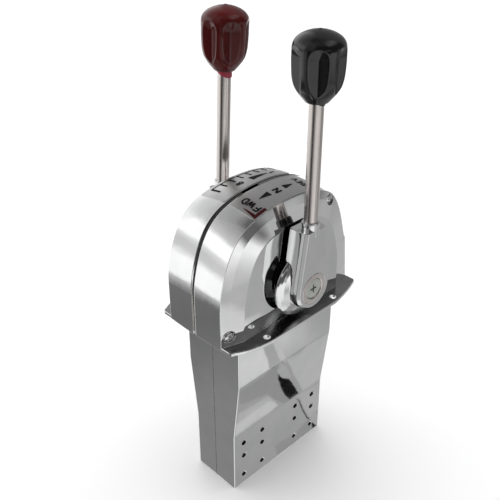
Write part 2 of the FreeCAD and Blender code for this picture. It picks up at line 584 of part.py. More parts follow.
def make_side(side):
    half_turn = side == "throttle"
    foot = D("arm_foot")
    # hub and arm casting, about the pivot axis; Y is measured from the seam
    arm = new_body(side + "_arm")
    hub_r = D("hub_rad")
    hub_y = D("hub_in")
    revolve(arm, "Hub", "XY_Plane", [
        (0, hub_y), (hub_r - 6.2, hub_y), (hub_r - 5.7, hub_y + 0.5), (hub_r - 0.6, hub_y + 4.3), (hub_r, hub_y + 5.1),
        (hub_r - 0.2, hub_y + 5.8), (hub_r - 1.2, hub_y + 6.7), (hub_r - 3.0, hub_y + 7.8), (hub_r - 5.2, hub_y + 8.9),
        (hub_r - 8.0, hub_y + 10.0), (hub_r - 11.0, hub_y + 10.9), (hub_r - 14.0, hub_y + 11.5), (0, hub_y + 12.3)])
    # the arm's outline: an arc about the pivot below, tapered above, its flanks
    # swelling a little between their edges; its outer face is bevelled all
    # round but at the top
    bevel = D("arm_bevel")
    edge_y = D("arm_out") - bevel
    swell = D("arm_crown")
    sections = []
    for k, part in enumerate((0.0, 0.75, 1.0, 0.75, 0.0)):
        at_y = D("arm_in") + (edge_y - D("arm_in")) * (0.25 * k)
        sk = new_sketch(arm, "ArmSection%d" % k, "XZ_Plane", -at_y)
        draw_paddle(sk, foot + 1.6 + swell * part - 0.3 * part, D("arm_head") + 1.2 + swell * part - 0.3 * part,
                    D("arm_rise"))
        sections.append(sk)
    doc.recompute()
    arm_loft = arm.newObject("PartDesign::AdditiveLoft", "Arm")
    arm_loft.Profile = sections[0]
    arm_loft.Sections = sections[1:]
    arm_loft.Ruled = False
    doc.recompute()
    inner_sk = new_sketch(arm, "BevelFoot", "XZ_Plane", -edge_y)
    draw_paddle(inner_sk, foot + 1.6, D("arm_head") + 1.2, D("arm_rise"))
    outer_sk = new_sketch(arm, "BevelHead", "XZ_Plane", -D("arm_out"))
    draw_paddle(outer_sk, foot, D("arm_head") - 0.6, D("arm_rise"))
    face = arm.newObject("PartDesign::AdditiveLoft", "OuterFace")
    face.Profile = inner_sk
    face.Sections = [outer_sk]
    face.Ruled = True
    doc.recompute()
    collar_y = D("rod_y")
    pad(arm, "Collar", "XY_Plane", [("circle", 0, collar_y, D("collar_rad"))], D("collar_top") - 43.7, 43.0)
    doc.recompute()
    pad(arm, "CollarRim", "XY_Plane", [("circle", 0, collar_y, D("collar_rad") - 0.6)], 0.7, D("collar_top") - 0.7)
    doc.recompute()
    revolve(arm, "PivotBore", "XY_Plane", [
        (0, 30.0), (D("shaft_rad"), 30.0), (D("shaft_rad"), D("shaft_out")), (4.3, D("shaft_out")),
        (4.3, D("arm_out") - 5.2), (8.1, D("arm_out") - 1.4), (8.1, D("arm_out") - 0.7), (12.4, D("arm_out") - 0.7),
        (12.4, D("arm_out") + 2.0),
        (0, D("arm_out") + 2.0)], cut=True)
    doc.recompute()
    pad(arm, "RodSocket", "XY_Plane", [("circle", 0, collar_y, D("rod_rad"))], D("collar_top") - D("rod_foot") + 1.0,
        D("collar_top") + 1.0, cut=True)
    doc.recompute()
    lever_piece(arm, side)

    # rod
    rod = new_body(side + "_rod")
    r = D("rod_rad")
    revolve(rod, "Bar", "XZ_Plane", [(0, D("rod_foot")), (r, D("rod_foot")), (r, D("rod_head") - 0.6),
                                     (r - 0.6, D("rod_head")), (0, D("rod_head"))])
    # knob and its threaded insert
    knob = new_body(side + "_knob")
    kb, kt, kr = D("knob_foot"), D("knob_head"), D("knob_rad")
    ir = D("insert_rad")
    revolve(knob, "Form", "XZ_Plane", [
        (r + 0.2, kb), (7.0, kb), (7.9, kb + 0.4), (kr * 0.602, kb + 3.3), (kr * 0.725, kb + 5.9),
        (kr * 0.819, kb + 8.4), (kr * 0.895, kb + 11.0), (kr * 0.936, kb + 13.5), (kr * 0.965, kb + 16.0),
        (kr * 0.98, kb + 18.5), (kr * 0.992, kb + 22.0), (kr, kb + 26.0), (kr, kb + 34.0), (kr * 0.994, kb + 35.6),
        (kr * 0.98, kb + 38.0), (kr * 0.947, kb + 39.4), (kr * 0.9, kb + 40.5), (kr * 0.819, kb + 41.8),
        (kr * 0.714, kb + 42.8), (kr * 0.585, kb + 43.6), (kr * 0.45, kb + 44.15), (kr * 0.25, kb + 44.65),
        (0, kt), (0, D("rod_head") + 1.0), (ir, D("rod_head") + 1.0),
        (ir, kb + 2.0), (r + 0.2, kb + 2.0)])
    doc.recompute()
    flute = pad(knob, "Flute", "XY_Plane", [("circle", 0, kr + 3.1, 6.2)], 28.0, kb + 35.0, cut=True)
    doc.recompute()
    around = knob.newObject("PartDesign::PolarPattern", "Flutes")
    around.Originals = [flute]
    around.Axis = (flute.Profile[0], ["N_Axis"])
    around.Angle = 360.0
    around.Occurrences = 6
    knob.Tip = around
    insert = new_body(side + "_knob_insert")
    revolve(insert, "Insert", "XZ_Plane", [(r, kb + 2.0), (ir, kb + 2.0), (ir, kb + 7.0), (ir - 0.7, kb + 7.6),
                                           (ir - 0.7, kb + 9.0), (ir, kb + 9.6), (ir, D("rod_head") + 1.0),
                                           (0, D("rod_head") + 1.0), (0, D("rod_head")), (r - 0.6, D("rod_head")),
                                           (r, D("rod_head") - 0.6)])
    for piece in (rod, knob, insert):
        rot = Rot(V(0, 0, 1), 180.0) if half_turn else Rot()
        if LEAN[side] is not None:
            rot = Rot(V(0, 1, 0), LEAN[side]).multiply(rot)
        base = V(0, 0, VALUE["pivot_z"]) + rot.multVec(V(0, VALUE["rod_y"], 0))
        if piece is knob:
            rot = rot.multiply(Rot(V(0, 0, 1), KNOB_TURN[side]))
        piece.Placement = Plc(base, rot)

    # pivot screw with its cross recess, and the ring around its head
    screw = new_body(side + "_pivot_screw")
    ao = D("arm_out")
    revolve(screw, "Screw", "XY_Plane", [(0, 31.0), (3.4, 31.0), (4.0, 31.6), (4.0, ao - 5.2), (7.8, ao - 1.4),
                                         (7.8, ao - 0.75), (7.5, ao - 0.5), (0, ao - 0.5)])
    doc.recompute()
    pad(screw, "Recess", "XZ_Plane", [("poly", [(0.75, 0.75), (3.4, 0.75), (3.4, -0.75), (0.75, -0.75), (0.75, -3.4),
                                                (-0.75, -3.4), (-0.75, -0.75), (-3.4, -0.75), (-3.4, 0.75),
                                                (-0.75, 0.75), (-0.75, 3.4), (0.75, 3.4)])], 2.6, -(ao - 0.4), cut=True,
        reverse=True)
    ring_body = new_body(side + "_trim_ring")
    revolve(ring_body, "Ring", "XY_Plane", [(8.2, ao - 0.7), (12.3, ao - 0.7), (12.3, ao + 0.05), (11.9, ao + 0.25),
                                            (9.0, ao + 0.25), (8.5, ao + 0.1), (8.2, ao - 0.2)])
    # shaft, keyed to the crank by a cross pin
    shaft = new_body(side + "_shaft")
    sr = D("shaft_rad")
    revolve(shaft, "Shaft", "XY_Plane", [(0, 0.6), (D("journal_rad") - 0.4, 0.6), (D("journal_rad"), 1.0),
                                         (D("journal_rad"), 8.0), (sr, 8.0), (sr, D("shaft_out")), (4.0, D("shaft_out")),
                                         (4.0, 30.0), (0, 30.0)])
    doc.recompute()
    pad(shaft, "PinHole", "XY_Plane", [("circle", 0, 16.6, 2.0)], 40.0, 20.0, cut=True)
    crank = new_body(side + "_crank")
    cl = D("crank_len")
    revolve(crank, "CrankHub", "XY_Plane", [(sr, 12.6), (13.0, 12.6), (13.0, 20.6), (sr, 20.6)])
    doc.recompute()
    tip = []
    for k in range(0, 13):
        a = math.radians(180.0 + k * 15.0)
        tip.append((8.0 * math.cos(a), 8.0 * math.sin(a) - cl))
    pad(crank, "CrankArm", "XZ_Plane", [("poly", tip + [(9.0, -9.0), (-9.0, -9.0)])], 4.0, -20.4)
    doc.recompute()
    pad(crank, "CrankPinHole", "XY_Plane", [("circle", 0, 16.6, 2.0)], 40.0, 20.0, cut=True)
    doc.recompute()
    pad(crank, "SwivelHole", "XZ_Plane", [("circle", 0, -cl, D("swivel_rad") + D("fit_gap"))], 12.0, -24.4, cut=True,
        reverse=True)
    doc.recompute()
    cross_pin = new_body(side + "_crank_pin")
    revolve(cross_pin, "Pin", "XZ_Plane", [(0, -12.4), (1.6, -12.4), (2.0, -12.0), (2.0, 12.0), (1.6, 12.4), (0, 12.4)])
    for piece in (screw, ring_body, shaft, crank):
        lever_piece(piece, side)
    rot = Rot(V(0, 0, 1), 180.0) if half_turn else Rot()
    if LEAN[side] is not None:
        rot = Rot(V(0, 1, 0), LEAN[side]).multiply(rot)
    cross_pin.Placement = Plc(V(0, 0, VALUE["pivot_z"]) + rot.multVec(V(0, 16.6, 0)), rot)

    # bush in the housing
    bush = new_body(side + "_bush")
    br = D("bush_rad")
    bi = D("shaft_rad") + D("fit_gap")
    revolve(bush, "Bush", "XY_Plane", [(bi, 21.0), (br + 2.0, 21.0), (br + 2.0, 21.6), (br, 21.6), (br, 33.4), (bi, 33.4)])
    turn_about_z(bush, half_turn)

    # cable swivel and its clip; the cable end's hole stays upright
    swivel = new_body(side + "_cable_swivel")
    wr = D("swivel_rad")
    revolve(swivel, "Barrel", "XY_Plane", [(0, 9.0), (5.1, 9.0), (5.5, 9.4), (5.5, 15.7), (5.1, 16.1), (wr, 16.1),
                                           (wr, 20.8), (wr - 0.5, 20.8), (wr - 0.5, 21.5), (wr, 21.5), (wr, 21.8),
                                           (wr - 0.4, 22.2), (0, 22.2)])
    doc.recompute()
    pad(swivel, "CableHole", "XY_Plane", [("circle", 0, D("cable_y"), D("cable_rad"))], 30.0, 15.0, cut=True)
    clip = new_body(side + "_swivel_clip")
    revolve(clip, "Clip", "XY_Plane", [(wr - 0.5, 20.8), (5.0, 20.8), (5.0, 21.5), (wr - 0.5, 21.5)])
    for piece in (swivel, clip):
        rot = Rot(V(0, 0, 1), 180.0) if half_turn else Rot()
        lean = Rot(V(0, 1, 0), LEAN[side]) if LEAN[side] is not None else Rot()
        base = V(0, 0, VALUE["pivot_z"]) + lean.multVec(V(0, 0, -VALUE["crank_len"]))
        piece.Placement = Plc(base, rot)
    doc.recompute()


make_side("shift")
make_side("throttle")

# detent wheel on the shift shaft: notches for ahead, neutral and astern
wheel = new_body("detent_wheel")
pad(wheel, "Disc", "XZ_Plane", [("circle", 0, 0, D("wheel_rad")), ("circle", 0, 0, D("shaft_rad"))], 4.0, -12.3)
doc.recompute()
for tag, deg in (("Neutral", 0.0), ("Ahead", -40.0), ("Astern", 40.0)):
    a = math.radians(90.0 + deg)
    ux, uz = math.cos(a), math.sin(a)
    px, pz = -uz, ux
    R = VALUE["wheel_rad"]
    pts = [(ux * (R - 1.6), uz * (R - 1.6)), (ux * (R + 1.0) + px * 2.6, uz * (R + 1.0) + pz * 2.6),
           (ux * (R + 1.0) - px * 2.6, uz * (R + 1.0) - pz * 2.6)]
    pad(wheel, tag + "Notch", "XZ_Plane", [("poly", pts)], 10.0, -15.0, cut=True, reverse=True)
    doc.recompute()
turn_about_z(wheel, False)

# brake disc on the throttle shaft
brake = new_body("brake_disc")
pad(brake, "Disc", "XZ_Plane", [("circle", 0, 0, D("brake_rad")), ("circle", 0, 0, D("shaft_rad"))], 4.0, -12.3)
doc.recompute()
lever_piece(brake, "throttle")

# detent holder on the centre plate, with its plunger, spring, cap and screws
holder = new_body("detent_holder")
pad(holder, "Block", "XY_Plane", [rect(-7.5, 7.5, D("plate_half"), 12.4)], 16.7, 21.3)
doc.recompute()
pad(holder, "PlungerBore", "XY_Plane", [("circle", 0, 8.4, 3.06)], 30.0, 45.0, cut=True)
doc.recompute()
pad(holder, "ScrewHoles", "XZ_Plane", [("circle", -5.0, 32.0, 1.5), ("circle", 5.0, 24.0, 1.5)], 30.0, -20.0, cut=True,
    reverse=True)
turn_about_z(holder, False)

plunger = new_body("detent_plunger")
revolve(plunger, "Plunger", "XZ_Plane", [(0, 20.4), (1.2, 20.6), (2.2, 21.2), (2.8, 22.1), (3.0, 23.2), (3.0, 29.0), (0, 29.0)])
plunger.Placement = Plc(V(0, 8.4, PZ), Rot())


def coil(radius, wire, z0, z1, turns, x, y):
    lead = (z1 - z0 - 2 * wire) / turns
    path = Part.makeHelix(lead, lead * turns, radius)
    start = path.Edges[0].valueAt(path.Edges[0].FirstParameter)
    tangent = path.Edges[0].tangentAt(path.Edges[0].FirstParameter)
    ring = Part.Wire([Part.makeCircle(wire, start, tangent)])
    body = Part.Wire(path.Edges).makePipeShell([ring], True, True)
    body.translate(V(x, y, z0 + wire))
    return body


detent_spring = keep(doc.addObject("Part::Feature", "detent_spring"), "detent_spring")
detent_spring.Shape = coil(2.1, 0.35, PZ + 29.1, PZ + 35.2, 5, 0, 8.4)

cap = new_body("detent_cap_screw")
revolve(cap, "Cap", "XZ_Plane", [(0, 35.3), (3.06, 35.3), (3.06, 38.0), (0, 38.0)])
doc.recompute()
pad(cap, "CapSlot", "XY_Plane", [rect(-3.5, 3.5, -0.4, 0.4)], 1.2, 38.5, cut=True)
cap.Placement = Plc(V(0, 8.4, PZ), Rot())


def small_screw(r, head_r, head_t, x, z, y_seat, y_end):
    """A cheese-head screw along Y; y_seat is under its head, y_end its tip."""
    s = 1.0 if y_seat > y_end else -1.0
    lo, hi = sorted((y_seat, y_end))
    shank = y_cylinder(r, x, z, lo, hi)
    if s > 0:
        head = y_cylinder(head_r, x, z, y_seat, y_seat + head_t)
        slot = Part.makeBox(2 * head_r + 2, 0.9, 0.7, V(x - head_r - 1, y_seat + head_t - 0.8, z - 0.35))
    else:
        head = y_cylinder(head_r, x, z, y_seat - head_t, y_seat)
        slot = Part.makeBox(2 * head_r + 2, 0.9, 0.7, V(x - head_r - 1, y_seat - head_t - 0.1, z - 0.35))
    return shank.fuse(head).cut(slot).removeSplitter()


holder_screws = keep(doc.addObject("Part::Feature", "detent_holder_screws"), "detent_holder_screws")
holder_screws.Shape = Part.makeCompound([small_screw(1.5, 2.6, 1.6, -5.0, PZ + 32.0, -1.0, 3.8),
                                         small_screw(1.5, 2.6, 1.6, 5.0, PZ + 24.0, -1.0, 3.8)])

# neutral switch beside the detent wheel
switch = new_body("neutral_switch")
pad(switch, "SwitchCase", "XY_Plane", [rect(-33.2, -22.6, D("plate_half"), 12.4)], 20.0, -4.0)
doc.recompute()
pad(switch, "SwitchScrewHoles", "XZ_Plane", [("circle", -29.5, 12.0, 1.5), ("circle", -29.5, 0.5, 1.5)], 30.0, -20.0,
    cut=True, reverse=True)
doc.recompute()
pad(switch, "PlungerHole", "YZ_Plane", [("circle", 10.3, 0, 1.55)], 7.5, -20.0, cut=True, reverse=False)
turn_about_z(switch, False)

button = keep(doc.addObject("Part::Feature", "switch_plunger"), "switch_plunger")
stem = Part.makeCylinder(1.5, 4.6, V(-25.0, 10.3, PZ), V(1, 0, 0))
nose = [ed for ed in stem.Edges if abs(ed.CenterOfMass.x + 20.4) < 1e-3]
button.Shape = stem.makeFillet(0.7, nose)

terminals = keep(doc.addObject("Part::Feature", "switch_terminals"), "switch_terminals")
blades = []
for tz in (-1.5, 4.5, 13.0):
    blade = Part.makeBox(6.4, 0.8, 3.2, V(-39.6, 5.6, PZ + tz))
    blade = blade.cut(Part.makeCylinder(0.8, 4, V(-37.6, 4, PZ + tz + 1.6), V(0, 1, 0)))
    blades.append(blade)
terminals.Shape = Part.makeCompound(blades)

switch_screws = keep(doc.addObject("Part::Feature", "switch_screws"), "switch_screws")
switch_screws.Shape = Part.makeCompound([small_screw(1.5, 2.6, 1.6, -29.5, PZ + 12.0, 12.4, -1.0),
                                         small_screw(1.5, 2.6, 1.6, -29.5, PZ + 0.5, 12.4, -1.0)])

# friction adjuster: nut block, screw, spring and brake shoe
nut_block = new_body("friction_block")
pad(nut_block, "Ears", "XY_Plane", [rect(3.5, 27.5, -4.0, -D("plate_half"))], 8.0, 42.0)
doc.recompute()
pad(nut_block, "Nut", "XY_Plane", [rect(10.5, 20.5, -6.5, 4.2)], 8.0, 42.0)
doc.recompute()
pad(nut_block, "Thread", "XY_Plane", [("circle", 15.5, 0, 2.55)], 20.0, 55.0, cut=True)
doc.recompute()
pad(nut_block, "EarHoles", "XZ_Plane", [("circle", 6.8, 46.0, 1.5), ("circle", 24.2, 46.0, 1.5)], 10.0, 6.0, cut=True,
    reverse=False)
turn_about_z(nut_block, False)

adjuster = new_body("friction_screw")
revolve(adjuster, "Screw", "XZ_Plane", [(0, 30.3), (1.9, 30.3), (2.5, 30.9), (2.5, 55.5), (3.3, 55.5), (3.3, 58.0),
                                        (2.9, 58.4), (0, 58.4)])
doc.recompute()
pad(adjuster, "DriverSlot", "XY_Plane", [rect(-4.0, 4.0, -0.5, 0.5)], 1.6, 59.0, cut=True)
adjuster.Placement = Plc(V(15.5, 0, PZ), Rot())

block_screws = keep(doc.addObject("Part::Feature", "friction_block_screws"), "friction_block_screws")
block_screws.Shape = Part.makeCompound([small_screw(1.5, 2.6, 1.6, 6.8, PZ + 46.0, -4.0, 1.0),
                                        small_screw(1.5, 2.6, 1.6, 24.2, PZ + 46.0, -4.0, 1.0)])

shoe = keep(doc.addObject("Part::Feature", "brake_shoe"), "brake_shoe")
shoe_box = Part.makeBox(9.2, 15.4, 24.0 - 8.6, V(10.9, -12.2, PZ + 8.6))
shoe.Shape = shoe_box.cut(y_cylinder(VALUE["brake_rad"] + 0.35, 0, PZ, -30, 30)).removeSplitter()

friction_spring = keep(doc.addObject("Part::Feature", "friction_spring"), "friction_spring")
friction_spring.Shape = coil(2.3, 0.45, PZ + 24.1, PZ + 30.2, 4, 15.5, 0)

# ------------------------------------------------------------------ checks
doc.recompute()
bad = []
for obj in doc.Objects:
    states = list(obj.State)
    if "Invalid" in states or "Error" in states:
        bad.append("%s %s" % (obj.Name, states))
for obj in MADE:
    shape = obj.Shape
    if shape.isNull() or not shape.isValid() or not shape.Solids:
        bad.append("%s: shape null, invalid or without a solid" % obj.Label)
if bad:
    raise RuntimeError("; ".join(bad))

os.makedirs("parts", exist_ok=True)
for obj in MADE:
    obj.Shape.exportStep("parts/%s.step" % obj.Label)
    bb = obj.Shape.BoundBox
    print("%-24s solids %d vol %9.1f  x %.1f..%.1f y %.1f..%.1f z %.1f..%.1f" % (
        obj.Label, len(obj.Shape.Solids), obj.Shape.Volume, bb.XMin, bb.XMax, bb.YMin, bb.YMax, bb.ZMin, bb.ZMax))
print("nodes", len(MADE))
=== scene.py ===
import bpy, bmesh, math
from mathutils import Vector, Matrix
from mathutils.bvhtree import BVHTree


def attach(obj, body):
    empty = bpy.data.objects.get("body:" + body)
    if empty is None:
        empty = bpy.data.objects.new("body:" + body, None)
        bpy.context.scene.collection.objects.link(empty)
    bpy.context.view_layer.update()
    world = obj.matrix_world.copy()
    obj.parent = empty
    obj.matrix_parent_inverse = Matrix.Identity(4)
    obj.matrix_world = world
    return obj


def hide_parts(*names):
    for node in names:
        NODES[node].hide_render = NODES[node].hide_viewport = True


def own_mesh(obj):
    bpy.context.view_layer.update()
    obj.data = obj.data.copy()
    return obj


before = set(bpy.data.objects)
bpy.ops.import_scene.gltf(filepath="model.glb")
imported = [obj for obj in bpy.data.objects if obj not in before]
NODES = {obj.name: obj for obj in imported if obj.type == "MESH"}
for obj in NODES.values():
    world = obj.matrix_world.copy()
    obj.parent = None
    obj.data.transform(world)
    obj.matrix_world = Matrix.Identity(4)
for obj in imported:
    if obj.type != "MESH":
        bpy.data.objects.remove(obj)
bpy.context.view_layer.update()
SCENE = bpy.context.scene
MM = 0.001
FLOOR_Z = -0.1589


# ------------------------------------------------------------ node materials
def set_stops(cr, stops):
    """Fill a colour ramp with stops given in rising order."""
    cr.elements[0].position, cr.elements[0].color = stops[0]
    cr.elements[1].position, cr.elements[1].color = stops[-1]
    for pos, col in stops[1:-1]:
        cr.elements.new(pos).color = col


class Surface:
    """A material with short calls for its nodes."""

    def __init__(self, name):
        self.m = bpy.data.materials.new(name)
        self.m.use_nodes = True
        self.nt = self.m.node_tree
        self.nt.nodes.clear()
        self.out = self.nt.nodes.new("ShaderNodeOutputMaterial")
        self.sh = self.nt.nodes.new("ShaderNodeBsdfPrincipled")
        self.link(self.sh.outputs["BSDF"], self.out.inputs["Surface"])
        self.place = self.nt.nodes.new("ShaderNodeTexCoord").outputs["Object"]

    def link(self, a, b):
        self.nt.links.new(a, b)

    def set(self, **values):
        for key, value in values.items():
            self.sh.inputs[key.replace("_", " ")].default_value = value

    def stretch(self, scale, turn=(0, 0, 0)):
        n = self.nt.nodes.new("ShaderNodeMapping")
        n.inputs["Scale"].default_value = scale
        n.inputs["Rotation"].default_value = turn
        self.link(self.place, n.inputs["Vector"])
        return n.outputs["Vector"]

    def noise(self, scale, detail=3.0, rough=0.5, at=None):
        n = self.nt.nodes.new("ShaderNodeTexNoise")
        n.inputs["Scale"].default_value = scale
        n.inputs["Detail"].default_value = detail
        n.inputs["Roughness"].default_value = rough
        self.link(at or self.place, n.inputs["Vector"])
        return n.outputs["Fac"]

    def ramp(self, fac, stops):
        n = self.nt.nodes.new("ShaderNodeValToRGB")
        cr = n.color_ramp
        set_stops(cr, [(pos, (*col, 1)) for pos, col in stops])
        self.link(fac, n.inputs["Fac"])
        return n.outputs["Color"]

    def spread(self, fac, low, high):
        n = self.nt.nodes.new("ShaderNodeMapRange")
        n.inputs["From Min"].default_value = 0.25
        n.inputs["From Max"].default_value = 0.75
        n.inputs["To Min"].default_value = low
        n.inputs["To Max"].default_value = high
        self.link(fac, n.inputs["Value"])
        return n.outputs["Result"]

    def bump(self, fac, distance, strength=1.0, under=None):
        n = self.nt.nodes.new("ShaderNodeBump")
        n.inputs["Distance"].default_value = distance
        n.inputs["Strength"].default_value = strength
        self.link(fac, n.inputs["Height"])
        if under:
            self.link(under, n.inputs["Normal"])
        return n.outputs["Normal"]

    def bevel(self, radius, samples=8):
        n = self.nt.nodes.new("ShaderNodeBevel")
        n.samples = samples
        n.inputs["Radius"].default_value = radius
        return n.outputs["Normal"]


def tones(a, b):
    """Two stops for a ramp over a noise's usual range."""
    return [(0.3, a), (0.7, b)]


def plating(name, low, high, rough, edge=0.0006, wave=0.00003, wave_scale=38.0):
    s = Surface(name)
    s.set(Metallic=1.0)
    s.link(s.ramp(s.noise(60.0), tones(low, high)), s.sh.inputs["Base Color"])
    s.link(s.spread(s.noise(140.0, 4.0), rough[0], rough[1]), s.sh.inputs["Roughness"])
    n = s.bevel(edge) if edge else None
    n = s.bump(s.noise(wave_scale, 1.5), wave, 1.0, n)
    s.link(n, s.sh.inputs["Normal"])
    return s.m


def moulded(name, low, high, rough, edge=0.0, grain=0.00002, grain_scale=900.0, coat=0.0, spec=0.5):
    s = Surface(name)
    s.link(s.ramp(s.noise(120.0), tones(low, high)), s.sh.inputs["Base Color"])
    s.link(s.spread(s.noise(260.0, 4.0), rough[0], rough[1]), s.sh.inputs["Roughness"])
    s.set(Specular_IOR_Level=spec)
    if coat:
        s.set(Coat_Weight=coat, Coat_Roughness=0.06)
    n = s.bevel(edge) if edge else None
    n = s.bump(s.noise(grain_scale, 2.0), grain, 1.0, n)
    s.link(n, s.sh.inputs["Normal"])
    return s.m


def drawn_steel(name, low, high, rough):
    """Rod stock: fine lines along Z, a warm satin metal."""
    s = Surface(name)
    s.set(Metallic=1.0)
    lines = s.noise(1.0, 3.0, 0.6, s.stretch((1500.0, 1500.0, 14.0)))
    s.link(s.ramp(lines, tones(low, high)), s.sh.inputs["Base Color"])
    s.link(s.spread(s.noise(160.0), rough[0], rough[1]), s.sh.inputs["Roughness"])
    s.link(s.bump(lines, 0.000012), s.sh.inputs["Normal"])
    return s.m




def housing_chrome():
    """Polished plate. On the flange's face near the deck it is rougher, and its colour is darkened there: a painted
    dark reflection.
    """
    s = Surface("chrome_plate")
    s.set(Metallic=1.0)
    split = s.nt.nodes.new("ShaderNodeSeparateXYZ")
    s.link(s.place, split.inputs[0])
    low = s.nt.nodes.new("ShaderNodeMapRange")
    for key, v in (("From Min", 0.0031), ("From Max", 0.0027), ("To Min", 0.0), ("To Max", 1.0)):
        low.inputs[key].default_value = v
    s.link(split.outputs[2], low.inputs["Value"])
    both = s.nt.nodes.new("ShaderNodeMath")
    both.operation = "MULTIPLY"
    facing = s.nt.nodes.new("ShaderNodeSeparateXYZ")
    s.link(s.nt.nodes.new("ShaderNodeTexCoord").outputs["Normal"], facing.inputs[0])
    level = s.nt.nodes.new("ShaderNodeMapRange")
    for key, v in (("From Min", 0.80), ("From Max", 0.93), ("To Min", 0.0), ("To Max", 1.0)):
        level.inputs[key].default_value = v
    s.link(facing.outputs[2], level.inputs["Value"])
    s.link(low.outputs[0], both.inputs[0])
    s.link(level.outputs[0], both.inputs[1])
    bright = s.ramp(s.noise(60.0), tones((0.84, 0.845, 0.85), (0.90, 0.90, 0.90)))
    # painted dark reflection: the flange's upward face near the deck takes this darker colour
    painted_dark_tone = s.ramp(s.noise(90.0), tones((0.33, 0.33, 0.335), (0.41, 0.41, 0.415)))
    mix = s.nt.nodes.new("ShaderNodeMix")
    mix.data_type = "RGBA"
    s.link(both.outputs[0], mix.inputs["Factor"])
    s.link(bright, mix.inputs["A"])
    s.link(painted_dark_tone, mix.inputs["B"])
    # painted shade: near the top of the dome the plate beside the seam is coloured near black, standing in for the
    # shade in the seam's groove
    beside = s.nt.nodes.new("ShaderNodeMath")
    beside.operation = "ABSOLUTE"
    s.link(split.outputs[1], beside.inputs[0])
    seam = s.nt.nodes.new("ShaderNodeMapRange")
    for key, v in (("From Min", 0.00178), ("From Max", 0.00172), ("To Min", 0.0), ("To Max", 1.0)):
        seam.inputs[key].default_value = v
    s.link(beside.outputs[0], seam.inputs["Value"])
    lofty = s.nt.nodes.new("ShaderNodeMapRange")
    for key, v in (("From Min", 0.078), ("From Max", 0.082), ("To Min", 0.0), ("To Max", 1.0)):
        lofty.inputs[key].default_value = v
    s.link(split.outputs[2], lofty.inputs["Value"])
    seam_shade_mask = s.nt.nodes.new("ShaderNodeMath")
    seam_shade_mask.operation = "MULTIPLY"
    s.link(seam.outputs[0], seam_shade_mask.inputs[0])
    s.link(lofty.outputs[0], seam_shade_mask.inputs[1])
    last = s.nt.nodes.new("ShaderNodeMix")
    last.data_type = "RGBA"
    s.link(seam_shade_mask.outputs[0], last.inputs["Factor"])
    s.link(mix.outputs["Result"], last.inputs["A"])
    s.link(s.ramp(s.noise(300.0), tones((0.015, 0.015, 0.015), (0.04, 0.04, 0.04))), last.inputs["B"])
    s.link(last.outputs["Result"], s.sh.inputs["Base Color"])
    fine = s.spread(s.noise(140.0, 4.0), 0.02, 0.05)
    add = s.nt.nodes.new("ShaderNodeMath")
    add.operation = "MULTIPLY_ADD"
    s.link(both.outputs[0], add.inputs[0])
    add.inputs[1].default_value = 0.20
    s.link(fine, add.inputs[2])
    s.link(add.outputs[0], s.sh.inputs["Roughness"])
    # the cast sides of the dome carry a slow wave under the plate
    side = s.nt.nodes.new("ShaderNodeMath")
    side.operation = "ABSOLUTE"
    s.link(split.outputs[1], side.inputs[0])
    out = s.nt.nodes.new("ShaderNodeMapRange")
    for key, v in (("From Min", 0.0275), ("From Max", 0.0300), ("To Min", 0.0), ("To Max", 1.0)):
        out.inputs[key].default_value = v
    s.link(side.outputs[0], out.inputs["Value"])
    above = s.nt.nodes.new("ShaderNodeMapRange")
    for key, v in (("From Min", 0.003), ("From Max", 0.014), ("To Min", 0.0), ("To Max", 1.0)):
        above.inputs[key].default_value = v
    s.link(split.outputs[2], above.inputs["Value"])
    wave = s.nt.nodes.new("ShaderNodeMath")
    wave.operation = "MULTIPLY"
    s.link(out.outputs[0], wave.inputs[0])
    s.link(above.outputs[0], wave.inputs[1])
    slow = s.nt.nodes.new("ShaderNodeMath")
    slow.operation = "MULTIPLY"
    s.link(s.noise(24.0, 1.0), slow.inputs[0])
    s.link(wave.outputs[0], slow.inputs[1])
    n = s.bump(s.noise(34.0, 1.5), 0.00006, 1.0, s.bevel(0.0006))
    n = s.bump(slow.outputs[0], 0.0011, 1.0, n)
    s.link(n, s.sh.inputs["Normal"])
    return s.m


CHROME = housing_chrome()


def lever_chrome(name, inward):
    """Polished plate outside; the faces toward the dome are painted dark, standing in for the shade and dark
    reflections between arm and dome.
    inward is the sign of Y of the direction to the dome."""
    s = Surface(name)
    s.set(Metallic=1.0)
    facing = s.nt.nodes.new("ShaderNodeSeparateXYZ")
    s.link(s.nt.nodes.new("ShaderNodeTexCoord").outputs["Normal"], facing.inputs[0])
    inner = s.nt.nodes.new("ShaderNodeMapRange")
    for key, v in (("From Min", inward * 0.12), ("From Max", inward * 0.45), ("To Min", 0.0), ("To Max", 1.0)):
        inner.inputs[key].default_value = v
    s.link(facing.outputs[1], inner.inputs["Value"])
    bright = s.ramp(s.noise(60.0), tones((0.82, 0.825, 0.83), (0.89, 0.89, 0.89)))
    # painted shade: the faces toward the dome take this near-black colour
    painted_dark_tone = s.ramp(s.noise(90.0), tones((0.05, 0.05, 0.05), (0.10, 0.10, 0.10)))
    mix = s.nt.nodes.new("ShaderNodeMix")
    mix.data_type = "RGBA"
    s.link(inner.outputs[0], mix.inputs["Factor"])
    s.link(bright, mix.inputs["A"])
    s.link(painted_dark_tone, mix.inputs["B"])
    s.link(mix.outputs["Result"], s.sh.inputs["Base Color"])
    s.link(s.spread(s.noise(140.0, 4.0), 0.03, 0.07), s.sh.inputs["Roughness"])
    s.link(s.bump(s.noise(38.0, 1.5), 0.00003, 1.0, s.bevel(0.0005)), s.sh.inputs["Normal"])
    return s.m


